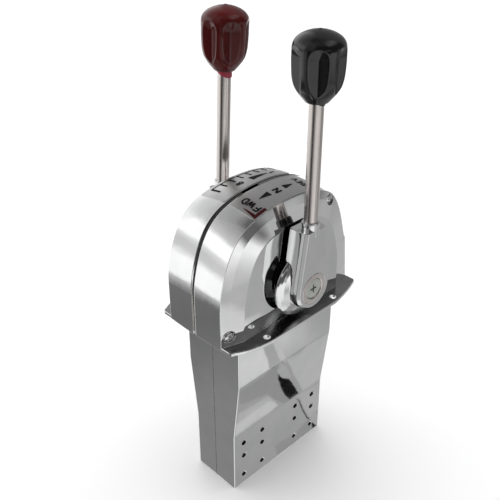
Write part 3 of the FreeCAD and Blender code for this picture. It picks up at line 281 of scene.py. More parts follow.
CHROME_SHIFT = lever_chrome("chrome_shift_lever", -1)
CHROME_THROTTLE = lever_chrome("chrome_throttle_lever", 1)
SCREW = plating("bright_screw_head", (0.78, 0.78, 0.77), (0.90, 0.90, 0.89), (0.08, 0.15), edge=0.0002)
RUBBER = moulded("black_seal_rubber", (0.012, 0.011, 0.011), (0.030, 0.028, 0.027), (0.42, 0.6), grain=0.00003)
BEAD = plating("grey_bead", (0.30, 0.29, 0.28), (0.44, 0.43, 0.42), (0.3, 0.42), edge=0)
ROD = drawn_steel("rod_stock", (0.60, 0.555, 0.53), (0.72, 0.67, 0.645), (0.20, 0.27))
BLACK = moulded("black_knob_gloss", (0.0035, 0.0035, 0.004), (0.007, 0.007, 0.0075), (0.09, 0.14), grain=0.000006, spec=0.66)
RED = moulded("dark_red_knob_gloss", (0.058, 0.0045, 0.0045), (0.078, 0.0065, 0.006), (0.07, 0.11), grain=0.000006, spec=0.48)
CRIMSON = moulded("crimson_sleeve", (0.33, 0.018, 0.045), (0.46, 0.03, 0.07), (0.3, 0.4))
TAB = moulded("black_sleeve", (0.010, 0.010, 0.010), (0.018, 0.018, 0.018), (0.3, 0.4))
BRASS = plating("turned_brass", (0.70, 0.50, 0.22), (0.80, 0.60, 0.30), (0.18, 0.3), edge=0.0002)
PIVOT = plating("zinc_screw", (0.66, 0.69, 0.63), (0.84, 0.86, 0.80), (0.34, 0.46), edge=0.0003)
TRIM = plating("warm_trim_ring", (0.76, 0.70, 0.675), (0.86, 0.81, 0.785), (0.24, 0.34), edge=0.0003)
SWITCH = moulded("switch_moulding", (0.02, 0.02, 0.021), (0.04, 0.04, 0.042), (0.4, 0.55), edge=0.0003)
SWITCH_RED = moulded("switch_button", (0.42, 0.03, 0.02), (0.55, 0.05, 0.035), (0.3, 0.4), edge=0.0002)
LINING = moulded("brake_lining", (0.09, 0.065, 0.045), (0.20, 0.15, 0.11), (0.7, 0.9), grain=0.0001, grain_scale=1400.0)
SPRING = drawn_steel("spring_wire", (0.42, 0.42, 0.43), (0.62, 0.62, 0.63), (0.22, 0.32))
PLATED = plating("plated_steel", (0.52, 0.52, 0.50), (0.66, 0.66, 0.64), (0.2, 0.32), edge=0.0003)
LABEL = plating("satin_label_foil", (0.66, 0.66, 0.66), (0.74, 0.74, 0.74), (0.33, 0.40), edge=0.0, wave=0.00001)
INK = moulded("label_ink", (0.003, 0.003, 0.003), (0.006, 0.006, 0.006), (0.5, 0.6), spec=0.12)
INK_RED = moulded("label_red_ink", (0.026, 0.0028, 0.0035), (0.038, 0.0035, 0.005), (0.5, 0.6), spec=0.12)
BARE = plating("bare_casting", (0.50, 0.50, 0.50), (0.62, 0.62, 0.62), (0.35, 0.5), edge=0.0004)


def dress(names, mat):
    for n in names.split():
        o = NODES[n]
        o.data.materials.clear()
        o.data.materials.append(mat)


dress("housing_port housing_starboard", CHROME)
dress("shift_arm", CHROME_SHIFT)
dress("throttle_arm", CHROME_THROTTLE)
dress("shift_label throttle_label", LABEL)
dress("seal_strip_front", RUBBER)
dress("seam_bead_rear", BEAD)
dress("housing_screws", SCREW)
dress("centre_plate shift_crank throttle_crank stop_pins detent_holder friction_block", PLATED)
dress("centre_bush shift_bush throttle_bush shift_knob_insert throttle_knob_insert", BRASS)
dress("shift_cable_swivel throttle_cable_swivel shift_swivel_clip throttle_swivel_clip", PLATED)
dress("shift_rod throttle_rod", ROD)
dress("shift_shaft throttle_shaft shift_crank_pin throttle_crank_pin detent_plunger", SPRING)
dress("shift_pivot_screw throttle_pivot_screw", PIVOT)
dress("shift_trim_ring throttle_trim_ring", TRIM)
dress("shift_knob", BLACK)
dress("throttle_knob", RED)
dress("detent_holder_screws detent_cap_screw switch_screws friction_block_screws switch_terminals friction_screw", SCREW)
dress("detent_spring friction_spring", SPRING)
dress("detent_wheel brake_disc", BARE)
dress("neutral_switch", SWITCH)
dress("switch_plunger", SWITCH_RED)
dress("brake_shoe", LINING)


# ------------------------------------------------------------------- helpers
def new_piece(name, verts, faces, mat, smooth=True):
    mesh = bpy.data.meshes.new(name)
    mesh.from_pydata([tuple(v) for v in verts], [], faces)
    mesh.validate()
    mesh.update()
    o = bpy.data.objects.new(name, mesh)
    SCENE.collection.objects.link(o)
    mesh.materials.append(mat)
    for p in mesh.polygons:
        p.use_smooth = smooth
    return o


def surface_of(node):
    o = NODES[node]
    verts = [o.matrix_world @ v.co for v in o.data.vertices]
    return BVHTree.FromPolygons(verts, [tuple(p.vertices) for p in o.data.polygons])


PIVOT_Z = 0.0324
LEAN = math.radians(-2.65)


def lever_place(side):
    """The lever's own frame: Z up the rod, origin on the rod's line at pivot height."""
    if side == "shift":
        return Matrix.Translation((0, 0.0464, PIVOT_Z))
    return (Matrix.Translation((0, 0, PIVOT_Z)) @ Matrix.Rotation(LEAN, 4, "Y")
            @ Matrix.Translation((0, -0.0464, 0)))


# --------------------------------------------------------------------- knobs
R_MAX = 17.1
FOOT = 138.4
PROFILE = [(0.0, 7.0), (0.35, 7.75), (1.3, 8.6), (3.3, 0.602 * R_MAX), (5.9, 0.725 * R_MAX), (8.4, 0.819 * R_MAX),
           (11.0, 0.895 * R_MAX), (13.5, 0.936 * R_MAX), (16.0, 0.965 * R_MAX), (18.5, 0.98 * R_MAX),
           (22.0, 0.992 * R_MAX), (26.0, R_MAX), (31.0, R_MAX)]
CROWN_Z, CROWN = 33.0, 12.1
PROFILE += [(CROWN_Z + CROWN * u, R_MAX * (1.0 - u ** 2.6) ** 0.62) for u in (0.0, 0.12, 0.22, 0.32, 0.42, 0.5, 0.58, 0.66,
                                                                              0.74, 0.81, 0.87, 0.92, 0.96, 0.985)]
PROFILE += [(CROWN_Z + CROWN * 0.992 + 0.25, 1.1), (CROWN_Z + CROWN * 0.992 + 0.42, 0.7), (CROWN_Z + CROWN * 0.992 + 0.45, 0.0)]
TOP_Z = PROFILE[-1][0]


def smooth_curve(points, steps):
    """Catmull-Rom through the points, evenly spaced along the line."""
    fine = []
    n = len(points)
    for i in range(n - 1):
        p = [points[max(0, i - 1)], points[i], points[i + 1], points[min(n - 1, i + 2)]]
        for k in range(12):
            t = k / 12.0
            fine.append(tuple(0.5 * (2 * p[1][c] + (p[2][c] - p[0][c]) * t
                                     + (2 * p[0][c] - 5 * p[1][c] + 4 * p[2][c] - p[3][c]) * t * t
                                     + (3 * p[1][c] - p[0][c] - 3 * p[2][c] + p[3][c]) * t ** 3) for c in (0, 1)))
    fine.append(points[-1])
    run = [0.0]
    for a, b in zip(fine, fine[1:]):
        run.append(run[-1] + math.hypot(b[0] - a[0], b[1] - a[1]))
    res, j = [], 0
    for k in range(steps + 1):
        want = run[-1] * k / steps
        while j < len(run) - 2 and run[j + 1] < want:
            j += 1
        t = (want - run[j]) / max(1e-9, run[j + 1] - run[j])
        res.append((fine[j][0] + (fine[j + 1][0] - fine[j][0]) * t, fine[j][1] + (fine[j + 1][1] - fine[j][1]) * t))
    return res


def soft_min(a, b, k):
    h = max(k - abs(a - b), 0.0) / k
    return min(a, b) - h * h * k * 0.25


TIP_Z, LINE_TOP, RIM_TOP = 7.6, 29.0, 36.4
WALL = math.tan(math.radians(24.0))


def fluted_radius(z, r, delta):
    """Radius at height z and at an angle delta from the nearest flute's middle."""
    if z < TIP_Z - 1.0 or z > RIM_TOP + 1.5:
        return r
    rv = 12.65 + (z - TIP_Z) * 0.014
    q = 0.0
    if z > LINE_TOP:
        q = (R_MAX * 0.978 - rv) / WALL * ((z - LINE_TOP) / (RIM_TOP - LINE_TOP))
    cut = r
    for _ in range(4):
        t = math.sqrt((cut * math.sin(delta)) ** 2 + q * q + 0.12)
        cut = (rv + WALL * t) / math.cos(delta)
    return soft_min(r, cut, 0.34)


def make_knob(name, side, turn, mat, body, node):
    place = lever_place(side)
    outline = smooth_curve(PROFILE, 140)
    n = 324
    verts, faces, rings = [], [], []
    for z, r in outline[:-1]:
        ring = []
        for k in range(n):
            phi = 2 * math.pi * k / n
            d = (math.degrees(phi) - turn + 30.0) % 60.0 - 30.0
            rr = fluted_radius(z, r, math.radians(abs(d)))
            ring.append(len(verts))
            verts.append(place @ Vector((rr * math.cos(phi) * MM, rr * math.sin(phi) * MM, (FOOT + z) * MM)))
        rings.append(ring)
    for a, b in zip(rings, rings[1:]):
        for k in range(n):
            m = (k + 1) % n
            faces.append((a[k], a[m], b[m], b[k]))
    top = len(verts)
    verts.append(place @ Vector((0, 0, (FOOT + TOP_Z) * MM)))
    faces += [(rings[-1][k], rings[-1][(k + 1) % n], top) for k in range(n)]
    # the foot: a flat ring in to the rod, and a socket up round it
    inner = []
    for r, z in ((5.6, 0.0), (5.25, 0.35), (5.2, 6.0)):
        ring = []
        for k in range(n):
            phi = 2 * math.pi * k / n
            ring.append(len(verts))
            verts.append(place @ Vector((r * math.cos(phi) * MM, r * math.sin(phi) * MM, (FOOT + z) * MM)))
        inner.append(ring)
    chain = [rings[0]] + inner
    for a, b in zip(chain, chain[1:]):
        for k in range(n):
            m = (k + 1) % n
            faces.append((a[m], a[k], b[k], b[m]))
    faces.append(tuple(inner[-1]))
    o = new_piece(name, verts, faces, mat)
    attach(o, body)
    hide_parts(node)
    return o


shift_knob = make_knob("shift_knob_moulding", "shift", 40.0, BLACK, "shift_lever", "shift_knob")
throttle_knob = make_knob("throttle_knob_moulding", "throttle", 4.6, RED, "throttle_lever", "throttle_knob")


def sleeve(name, side, low_at, drop, lift, mat, body):
    """Short sleeve round the rod under the knob, cut on a slant."""
    place = lever_place(side)
    n = 72
    verts, faces = [], []
    rows = 10
    for k in range(n):
        phi = 2 * math.pi * k / n
        foot = FOOT - max(0.0, lift + drop * math.cos(phi - math.radians(low_at)))
        for i in range(rows + 1):
            t = i / rows
            z = FOOT + 0.4 + (foot - FOOT - 0.4) * t
            r = 5.55 if i < rows else 5.35
            verts.append(place @ Vector((r * math.cos(phi) * MM, r * math.sin(phi) * MM, z * MM)))
        verts.append(place @ Vector((5.08 * math.cos(phi) * MM, 5.08 * math.sin(phi) * MM, foot * MM)))
        verts.append(place @ Vector((5.08 * math.cos(phi) * MM, 5.08 * math.sin(phi) * MM, (FOOT + 0.4) * MM)))
    m = rows + 3
    for k in range(n):
        j = (k + 1) % n
        for i in range(m):
            l = (i + 1) % m
            faces.append((k * m + i, k * m + l, j * m + l, j * m + i))
    o = new_piece(name, verts, faces, mat)
    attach(o, body)
    return o


sleeve("throttle_knob_sleeve", "throttle", 100.0, 2.6, 2.4, CRIMSON, "throttle_lever")
sleeve("shift_knob_sleeve", "shift", 112.0, 2.6, -0.6, TAB, "shift_lever")


# --------------------------------------------------------------- seam strips
def seam_path(node, first, last, step):
    """Outer line of a seam strip in the plane Y = 0, by rays from outside."""
    tree = surface_of(node)
    pts = []
    k = 0
    ang = first
    while ang <= last:
        a = math.radians(ang)
        d = Vector((math.cos(a), 0, math.sin(a)))
        hit = tree.ray_cast(Vector((0, 0.0002, 0.02)) + d * 0.3, -d)
        if hit[0] is not None:
            pts.append(Vector((hit[0].x, 0, hit[0].z)))
        ang += 0.4
    run = [0.0]
    for a, b in zip(pts, pts[1:]):
        run.append(run[-1] + (b - a).length)
    res, j = [], 0
    total = int(run[-1] / step)
    for k in range(total + 1):
        want = k * step
        while j < len(run) - 2 and run[j + 1] < want:
            j += 1
        t = (want - run[j]) / max(1e-9, run[j + 1] - run[j])
        res.append(pts[j].lerp(pts[j + 1], t))
    return res


STRIP_HALF = 2.2


def fullness(z):
    return min(1.0, max(0.0, (z - 0.026) / 0.040))


def ribbed_strip(name, node, first, last, mat, ribs, out, half, more=0.0):
    path = seam_path(node, first, last, 0.2 * MM)
    if more:
        step = path[-1] - path[-3]
        heading = math.atan2(step.z, step.x)
        for _ in range(int(more / 0.2)):
            heading += math.radians(0.17)
            path.append(path[-1] + Vector((math.cos(heading), 0, math.sin(heading))) * (0.2 * MM))
    verts, faces = [], []
    section = [(-0.93, -1.6), (-0.93, -0.35), (-half, -0.1), (-half * 0.72, 0.12), (-half * 0.25, 0.22),
               (half * 0.25, 0.22), (half * 0.72, 0.12), (half, -0.1), (0.93, -0.35), (0.93, -1.6)]
    m = len(section)
    for i, p in enumerate(path):
        a, b = path[max(0, i - 2)], path[min(len(path) - 1, i + 2)]
        along = (b - a).normalized()
        outward = Vector((along.z, 0, -along.x))
        if outward.dot(p - Vector((0, 0, 0.02))) < 0:
            outward = -outward
        full = fullness(p.z)      # low on the front the strip sinks into its groove
        rise = -0.5 + (out + 0.5) * full + (ribs * math.sin(2 * math.pi * i * 0.2 / 0.9) if ribs else 0.0)
        for y, h in section:
            lift = h + (rise if h > -1.0 else 0.0)
            side = y if abs(y) < 0.94 or h < -0.3 else math.copysign(0.93 + (abs(y) - 0.93) * full, y)
            verts.append(p + Vector((0, side * MM, 0)) + outward * (lift * MM))
    for i in range(len(path) - 1):
        for k in range(m):
            l = (k + 1) % m
            faces.append((i * m + k, (i + 1) * m + k, (i + 1) * m + l, i * m + l))
    faces.append(tuple(range(m)))
    faces.append(tuple(reversed([(len(path) - 1) * m + k for k in range(m)])))
    o = new_piece(name, verts, faces, mat, smooth=False)
    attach(o, "root")
    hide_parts(node)
    return o


LIP = plating("pale_seam_lip", (0.74, 0.72, 0.68), (0.86, 0.84, 0.80), (0.22, 0.3), edge=0.0)


def seam_lip(name, y, first, last, radius, inset):
    """A low lip beside the rubber strip, on side y (1 or -1), thinning to its end."""
    path = seam_path("seal_strip_front", first, last, 0.5 * MM)
    verts, faces = [], []
    n = 10
    for i, p in enumerate(path):
        a, b = path[max(0, i - 1)], path[min(len(path) - 1, i + 1)]
        along = (b - a).normalized()
        outward = Vector((along.z, 0, -along.x))
        if outward.dot(p - Vector((0, 0, 0.02))) < 0:
            outward = -outward
        t = i / (len(path) - 1)
        r = radius * (1.0 - 0.7 * max(0.0, (t - 0.6) / 0.4))
        middle = y * (0.5 + (STRIP_HALF - 0.5) * fullness(p.z) + 1.45 * r)
        for k in range(n):
            u = 2 * math.pi * k / n
            verts.append(p + Vector((0, (middle + 1.6 * r * math.cos(u)) * MM, 0)) + outward * ((inset + r * math.sin(u)) * MM))
    for i in range(len(path) - 1):
        for k in range(n):
            m = (k + 1) % n
            faces.append((i * n + k, i * n + m, (i + 1) * n + m, (i + 1) * n + k))
    faces.append(tuple(range(n)))
    faces.append(tuple(reversed([(len(path) - 1) * n + k for k in range(n)])))
    o = new_piece(name, verts, faces, LIP)
    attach(o, "root")
    return o


seam_lip("seam_lip_starboard", -1, -14.0, 56.0, 0.56, 0.30)
seam_lip("seam_lip_port", 1, -14.0, 46.0, 0.50, 0.28)
strip = ribbed_strip("seal_strip_ribbed", "seal_strip_front", -14.0, 73.0, RUBBER, 0.15, 0.34, STRIP_HALF, 5.4)


def seam_line(name, x, y_half, z0, z1, mat):
    """A fine dark line where the two halves of the case meet, a little uneven."""
    verts, faces = [], []
    n = 120
    for i in range(n + 1):
        z = z0 + (z1 - z0) * i / n
        w = y_half * (1.0 + 0.35 * math.sin(i * 1.7) + 0.25 * math.sin(i * 0.61 + 1.0))
        verts += [Vector((x, -w * MM, z * MM)), Vector((x, w * MM, z * MM)),
                  Vector((x - math.copysign(0.3 * MM, x), w * MM, z * MM)),
                  Vector((x - math.copysign(0.3 * MM, x), -w * MM, z * MM))]
    for i in range(n):
        a, b = 4 * i, 4 * (i + 1)
        for k in range(4):
            m = (k + 1) % 4
            faces.append((a + k, b + k, b + m, a + m))
    faces.append((0, 1, 2, 3))
    faces.append((4 * n + 3, 4 * n + 2, 4 * n + 1, 4 * n))
    o = new_piece(name, verts, faces, mat, smooth=False)
    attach(o, "root")
    return o


seam_line("case_joint_front", 53.63 * MM, 0.16, -3.0, -158.0, RUBBER)
seam_line("case_joint_rear", -53.63 * MM, 0.16, -3.0, -158.0, RUBBER)


# ------------------------------------------------------------ coil springs
def coil_spring(name, node, x, y, z0, z1, radius, wire, turns):
    """An open coil of even pitch from z0 to z1."""
    verts, faces = [], []
    steps, n = turns * 32, 12
    low, high = z0 + wire, z1 - wire
    for i in range(steps + 1):
        a = 2 * math.pi * turns * i / steps
        lead = (high - low) / (2 * math.pi * turns)
        middle = Vector((x + radius * math.cos(a), y + radius * math.sin(a), low + lead * a))
        along = Vector((-radius * math.sin(a), radius * math.cos(a), lead)).normalized()
        out = Vector((math.cos(a), math.sin(a), 0))
        up = along.cross(out)
        for k in range(n):
            u = 2 * math.pi * k / n
            verts.append((middle + out * (wire * math.cos(u)) + up * (wire * math.sin(u))) * MM)
    for i in range(steps):
        for k in range(n):
            m = (k + 1) % n
            faces.append((i * n + k, i * n + m, (i + 1) * n + m, (i + 1) * n + k))
    faces.append(tuple(reversed(range(n))))
    faces.append(tuple(steps * n + k for k in range(n)))
    o = new_piece(name, verts, faces, SPRING)
    bm = bmesh.new()
    bm.from_mesh(o.data)
    bmesh.ops.recalc_face_normals(bm, faces=bm.faces[:])
    bm.to_mesh(o.data)
    bm.free()
    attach(o, "root")
    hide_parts(node)
    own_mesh(o)
    return o


coil_spring("detent_spring_coil", "detent_spring", 0, 8.4, 61.55, 67.55, 2.1, 0.33, 5)
coil_spring("friction_spring_coil", "friction_spring", 15.5, 0, 56.6, 62.55, 2.3, 0.42, 4)


# ------------------------------------------------------------- screw heads
def pan_heads(name, places, mat):
    """Domed heads with a cross recess, each on its shank."""
    verts, faces = [], []
    n, rows = 96, 26

    def recess(u, v):
        def one(a, b):
            wide = max(0.0, min(1.0, (0.62 - abs(a)) / 0.22))
            far = max(0.0, min(1.0, (2.7 - abs(b)) / 0.35))
            return wide * far
        return 1.0 * max(one(u, v), one(v, u))

    for x, z, floor_y, side, turn, reach in places:
        rings = []
        c, s_ = math.cos(math.radians(turn)), math.sin(math.radians(turn))
        outline = []
        for i in range(1, rows + 1):
            r = 3.95 * (i / rows) ** 0.8
            outline.append((r, 2.75 - 1.35 * (r / 3.95) ** 2.4 - 0.35 * (r / 3.95) ** 14))
        outline += [(4.0, 0.8), (4.0, 0.02), (2.0, 0.01), (2.0, -(floor_y + reach) * 0.5), (2.0, -(floor_y + reach))]
        for r, h in outline:
            ring = []
            for k in range(n):
                a = 2 * math.pi * k / n
                u, v = r * math.cos(a), r * math.sin(a)
                deep = recess(u * c + v * s_, v * c - u * s_) if r < 3.5 and h > 0.9 else 0.0
                ring.append(len(verts))
                verts.append(Vector(((x + u) * MM, side * (floor_y + h - deep) * MM, (z + v) * MM)))
            rings.append(ring)
        top = len(verts)
        verts.append(Vector((x * MM, side * (floor_y + 1.75) * MM, z * MM)))
        fan = []
        for k in range(n):
            fan.append((top, rings[0][(k + 1) % n], rings[0][k]))
        for a, b in zip(rings, rings[1:]):
            for k in range(n):
                m = (k + 1) % n
                fan.append((a[k], a[m], b[m], b[k]))
        fan.append(tuple(rings[-1]))
        faces += [tuple(reversed(f)) for f in fan] if side < 0 else fan
    o = new_piece(name, verts, faces, mat)
    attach(o, "root")
    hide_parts("housing_screws")
    return o


heads = pan_heads("housing_screw_heads", [(63.6, 10.4, 28.3, 1, 62.0, 13.0), (-41.4, 82.4, 26.6, 1, 20.0, 13.0),
                                          (-63.6, 10.4, 28.3, -1, 35.0, 13.0), (41.4, 82.4, 26.6, -1, 75.0, 13.0)], SCREW)


# ------------------------------------------------------------ label markings
PORT_TREE = surface_of("shift_label")
STAR_TREE = surface_of("throttle_label")


def drop(x, y, tree):
    """A point of the label's surface under (x, y) in mm, and its normal."""
    hit = tree.ray_cast(Vector((x * MM, y * MM, 0.15)), Vector((0, 0, -1)))
    if hit[0] is None:
        return None
    n = hit[1]
    return hit[0], (n if n.z > 0 else -n)


class Ink:
    """Thin raised print on a label: filled outlines laid on its surface."""

    def __init__(self, tree, lift=0.12):
        self.tree = tree
        self.lift = lift
        self.verts, self.faces = [], []

    def point(self, x, y, lift):
        d = drop(x, y, self.tree)
        if d is None:
            return None
        return d[0] + d[1] * (lift * MM)

    def quad_patch(self, a, b, c, d):
        """Bilinear patch over four corners, cut fine enough to follow the bend."""
        size = max(math.dist(a, b), math.dist(c, d))
        deep = max(math.dist(a, d), math.dist(b, c))
        nu, nv = max(1, int(size / 0.8)), max(1, int(deep / 0.8))
        grid = []
        for j in range(nv + 1):
            row = []
            for i in range(nu + 1):
                u, v = i / nu, j / nv
                x = (a[0] * (1 - u) + b[0] * u) * (1 - v) + (d[0] * (1 - u) + c[0] * u) * v
                y = (a[1] * (1 - u) + b[1] * u) * (1 - v) + (d[1] * (1 - u) + c[1] * u) * v
                p = self.point(x, y, self.lift)
                row.append(None if p is None else len(self.verts))
                if p is not None:
                    self.verts.append(p)
            grid.append(row)
        for j in range(nv):
            for i in range(nu):
                q = (grid[j][i], grid[j][i + 1], grid[j + 1][i + 1], grid[j + 1][i])
                if None not in q:
                    self.faces.append(q)

    def stroke(self, p, q, w):
        d = (q[0] - p[0], q[1] - p[1])
        l = math.hypot(*d) or 1e-6
        n = (-d[1] / l * w / 2, d[0] / l * w / 2)
        self.quad_patch((p[0] + n[0], p[1] + n[1]), (q[0] + n[0], q[1] + n[1]),
                        (q[0] - n[0], q[1] - n[1]), (p[0] - n[0], p[1] - n[1]))

    def line(self, pts, w):
        for p, q in zip(pts, pts[1:]):
            self.stroke(p, q, w)

    def done(self, name, mat):
        o = new_piece(name, self.verts, self.faces, mat, smooth=False)
        bm = bmesh.new()
        bm.from_mesh(o.data)
        for f in bm.faces:
            if f.normal.z < 0:
                f.normal_flip()
        bmesh.ops.solidify(bm, geom=bm.faces[:], thickness=-0.00006)
        bmesh.ops.recalc_face_normals(bm, faces=bm.faces[:])
        bm.to_mesh(o.data)
        bm.free()
        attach(o, "root")
        return o


LETTERS = {
    "F": [[(0, 0), (0, 1)], [(0, 1), (0.62, 1)], [(0, 0.53), (0.52, 0.53)]],
    "W": [[(0, 1), (0.22, 0), (0.45, 0.85), (0.68, 0), (0.9, 1)]],
    "D": [[(0, 0), (0, 1), (0.38, 1), (0.62, 0.75), (0.62, 0.25), (0.38, 0), (0, 0)]],
    "R": [[(0, 0), (0, 1), (0.45, 1), (0.6, 0.87), (0.6, 0.64), (0.45, 0.5), (0, 0.5)], [(0.3, 0.5), (0.64, 0)]],
    "E": [[(0.6, 1), (0, 1), (0, 0), (0.6, 0)], [(0, 0.53), (0.5, 0.53)]],
    "V": [[(0, 1), (0.33, 0), (0.66, 1)]],
    "N": [[(0, 0), (0, 1), (0.66, 0), (0.66, 1)]],
    "1": [[(0.1, 0.78), (0.34, 1), (0.34, 0)]],
    "8": [[(0.3, 0.53), (0.08, 0.66), (0.08, 0.88), (0.3, 1), (0.52, 0.88), (0.52, 0.66), (0.3, 0.53),
           (0.04, 0.36), (0.04, 0.14), (0.3, 0), (0.56, 0.14), (0.56, 0.36), (0.3, 0.53)]],
}


def write(ink, text, at, height, right, up, weight=0.7, gap=0.22):
    """Letters in strokes; right and up are unit directions in the XY plane."""
    pen = 0.0
    for ch in text:
        wide = max(x for s in LETTERS[ch] for x, y in s)
        for s in LETTERS[ch]:
            pts = [(at[0] + ((pen + x) * right[0] + y * up[0]) * height,
                    at[1] + ((pen + x) * right[1] + y * up[1]) * height) for x, y in s]
            ink.line(pts, weight)
        pen += wide + gap


# throttle half: a plain scale with a wedge
ink = Ink(STAR_TREE)
ink.stroke((29.6, -23.7), (-30.6, -23.7), 0.9)
for k in range(8):
    x = 28.9 - 8.2 * k
    ink.stroke((x, -23.6), (x, -14.6 if k == 0 else -16.2), 1.6 if k < 3 else 1.3)
write(ink, "8", (10.2, -9.2), 5.6, (0, -1), (1, 0), 1.2)
ink.quad_patch((2.4, -7.8), (2.4, -13.4), (-14.6, -10.2), (-14.6, -9.8))
write(ink, "1", (-21.5, -8.0), 5.2, (0, -1), (1, 0), 1.2)
ink.done("throttle_scale_print", INK)

# shift half: gear marks, a neutral mark and two wedges
ink = Ink(PORT_TREE)
write(ink, "FWD", (24.6, 22.9), 5.5, (0, -1), (1, 0), 1.3, 0.30)
ink.quad_patch((9.2, 12.4), (9.2, 17.6), (19.4, 15.2), (19.4, 14.8))
write(ink, "N", (-0.6, 17.7), 5.8, (0, -1), (1, 0), 1.5)
ink.quad_patch((-5.4, 12.7), (-5.4, 17.5), (-14.5, 15.3), (-14.5, 14.9))
write(ink, "REV", (-25.0, 20.4), 4.6, (0, -1), (1, 0), 1.0, 0.32)
ink.done("shift_marks_print", INK)
ink = Ink(PORT_TREE, 0.08)
ink.quad_patch((33.6, 14.0), (35.4, 26.8), (32.2, 26.8), (33.2, 14.0))
ink.quad_patch((35.4, 26.8), (23.4, 26.8), (23.4, 24.3), (31.6, 24.3))
ink.done("shift_corner_print", INK_RED)


# --------------------------------------------------------------------- stage
mesh = bpy.data.meshes.new("floor")
bm = bmesh.new()
bmesh.ops.create_grid(bm, x_segments=8, y_segments=8, size=9.0)
bm.to_mesh(mesh)
bm.free()
floor = bpy.data.objects.new("floor", mesh)
floor.location = (0, 0, FLOOR_Z)
SCENE.collection.objects.link(floor)
s = Surface("pale_paper")
s.link(s.ramp(s.noise(3.0), tones((0.86, 0.86, 0.86), (0.88, 0.88, 0.88))), s.sh.inputs["Base Color"])
s.set(Roughness=0.9, Specular_IOR_Level=0.1)
mesh.materials.append(s.m)
floor.visible_glossy = False

mesh = bpy.data.meshes.new("backdrop")
bm = bmesh.new()
bmesh.ops.create_uvsphere(bm, u_segments=64, v_segments=32, radius=11.0)
bm.to_mesh(mesh)
bm.free()
backdrop = bpy.data.objects.new("backdrop", mesh)
SCENE.collection.objects.link(backdrop)
s = Surface("pale_backdrop")
glow = s.nt.nodes.new("ShaderNodeEmission")
glow.inputs["Color"].default_value = (0.87, 0.87, 0.87, 1)
s.link(glow.outputs[0], s.out.inputs["Surface"])
mesh.materials.append(s.m)
for ray in ("visible_glossy", "visible_diffuse", "visible_transmission", "visible_shadow"):
    setattr(backdrop, ray, False)

# ---------------------------------------------------------- studio surround
world = bpy.data.worlds.new("studio")
world.use_nodes = True
SCENE.world = world
wt = world.node_tree
wt.nodes.clear()


def wn(kind, **props):
    n = wt.nodes.new(kind)
    for k, v in props.items():
        setattr(n, k, v)
    return n


def math_node(op, a, b=None):
    n = wn("ShaderNodeMath", operation=op)
    for i, v in enumerate((a, b)):
        if v is None:
            continue
        if isinstance(v, (int, float)):
            n.inputs[i].default_value = v
        else:
            wt.links.new(v, n.inputs[i])
    return n.outputs[0]


def curve(fac, stops):
    n = wn("ShaderNodeValToRGB")
    cr = n.color_ramp
    set_stops(cr, [(pos, (v, v, v, 1)) for pos, v in stops])
    wt.links.new(fac, n.inputs["Fac"])
    return n.outputs["Color"]


toward = wn("ShaderNodeTexCoord").outputs["Generated"]
split = wn("ShaderNodeSeparateXYZ")
wt.links.new(toward, split.inputs[0])
az = math_node("ADD", math_node("MULTIPLY", math_node("ARCTAN2", split.outputs[1], split.outputs[0]), 0.5 / math.pi), 0.5)
el = math_node("ADD", math_node("MULTIPLY", math_node("ARCSINE", split.outputs[2]), 1.0 / math.pi), 0.5)
TOP = 1.5   # the brightest value that a curve can hold

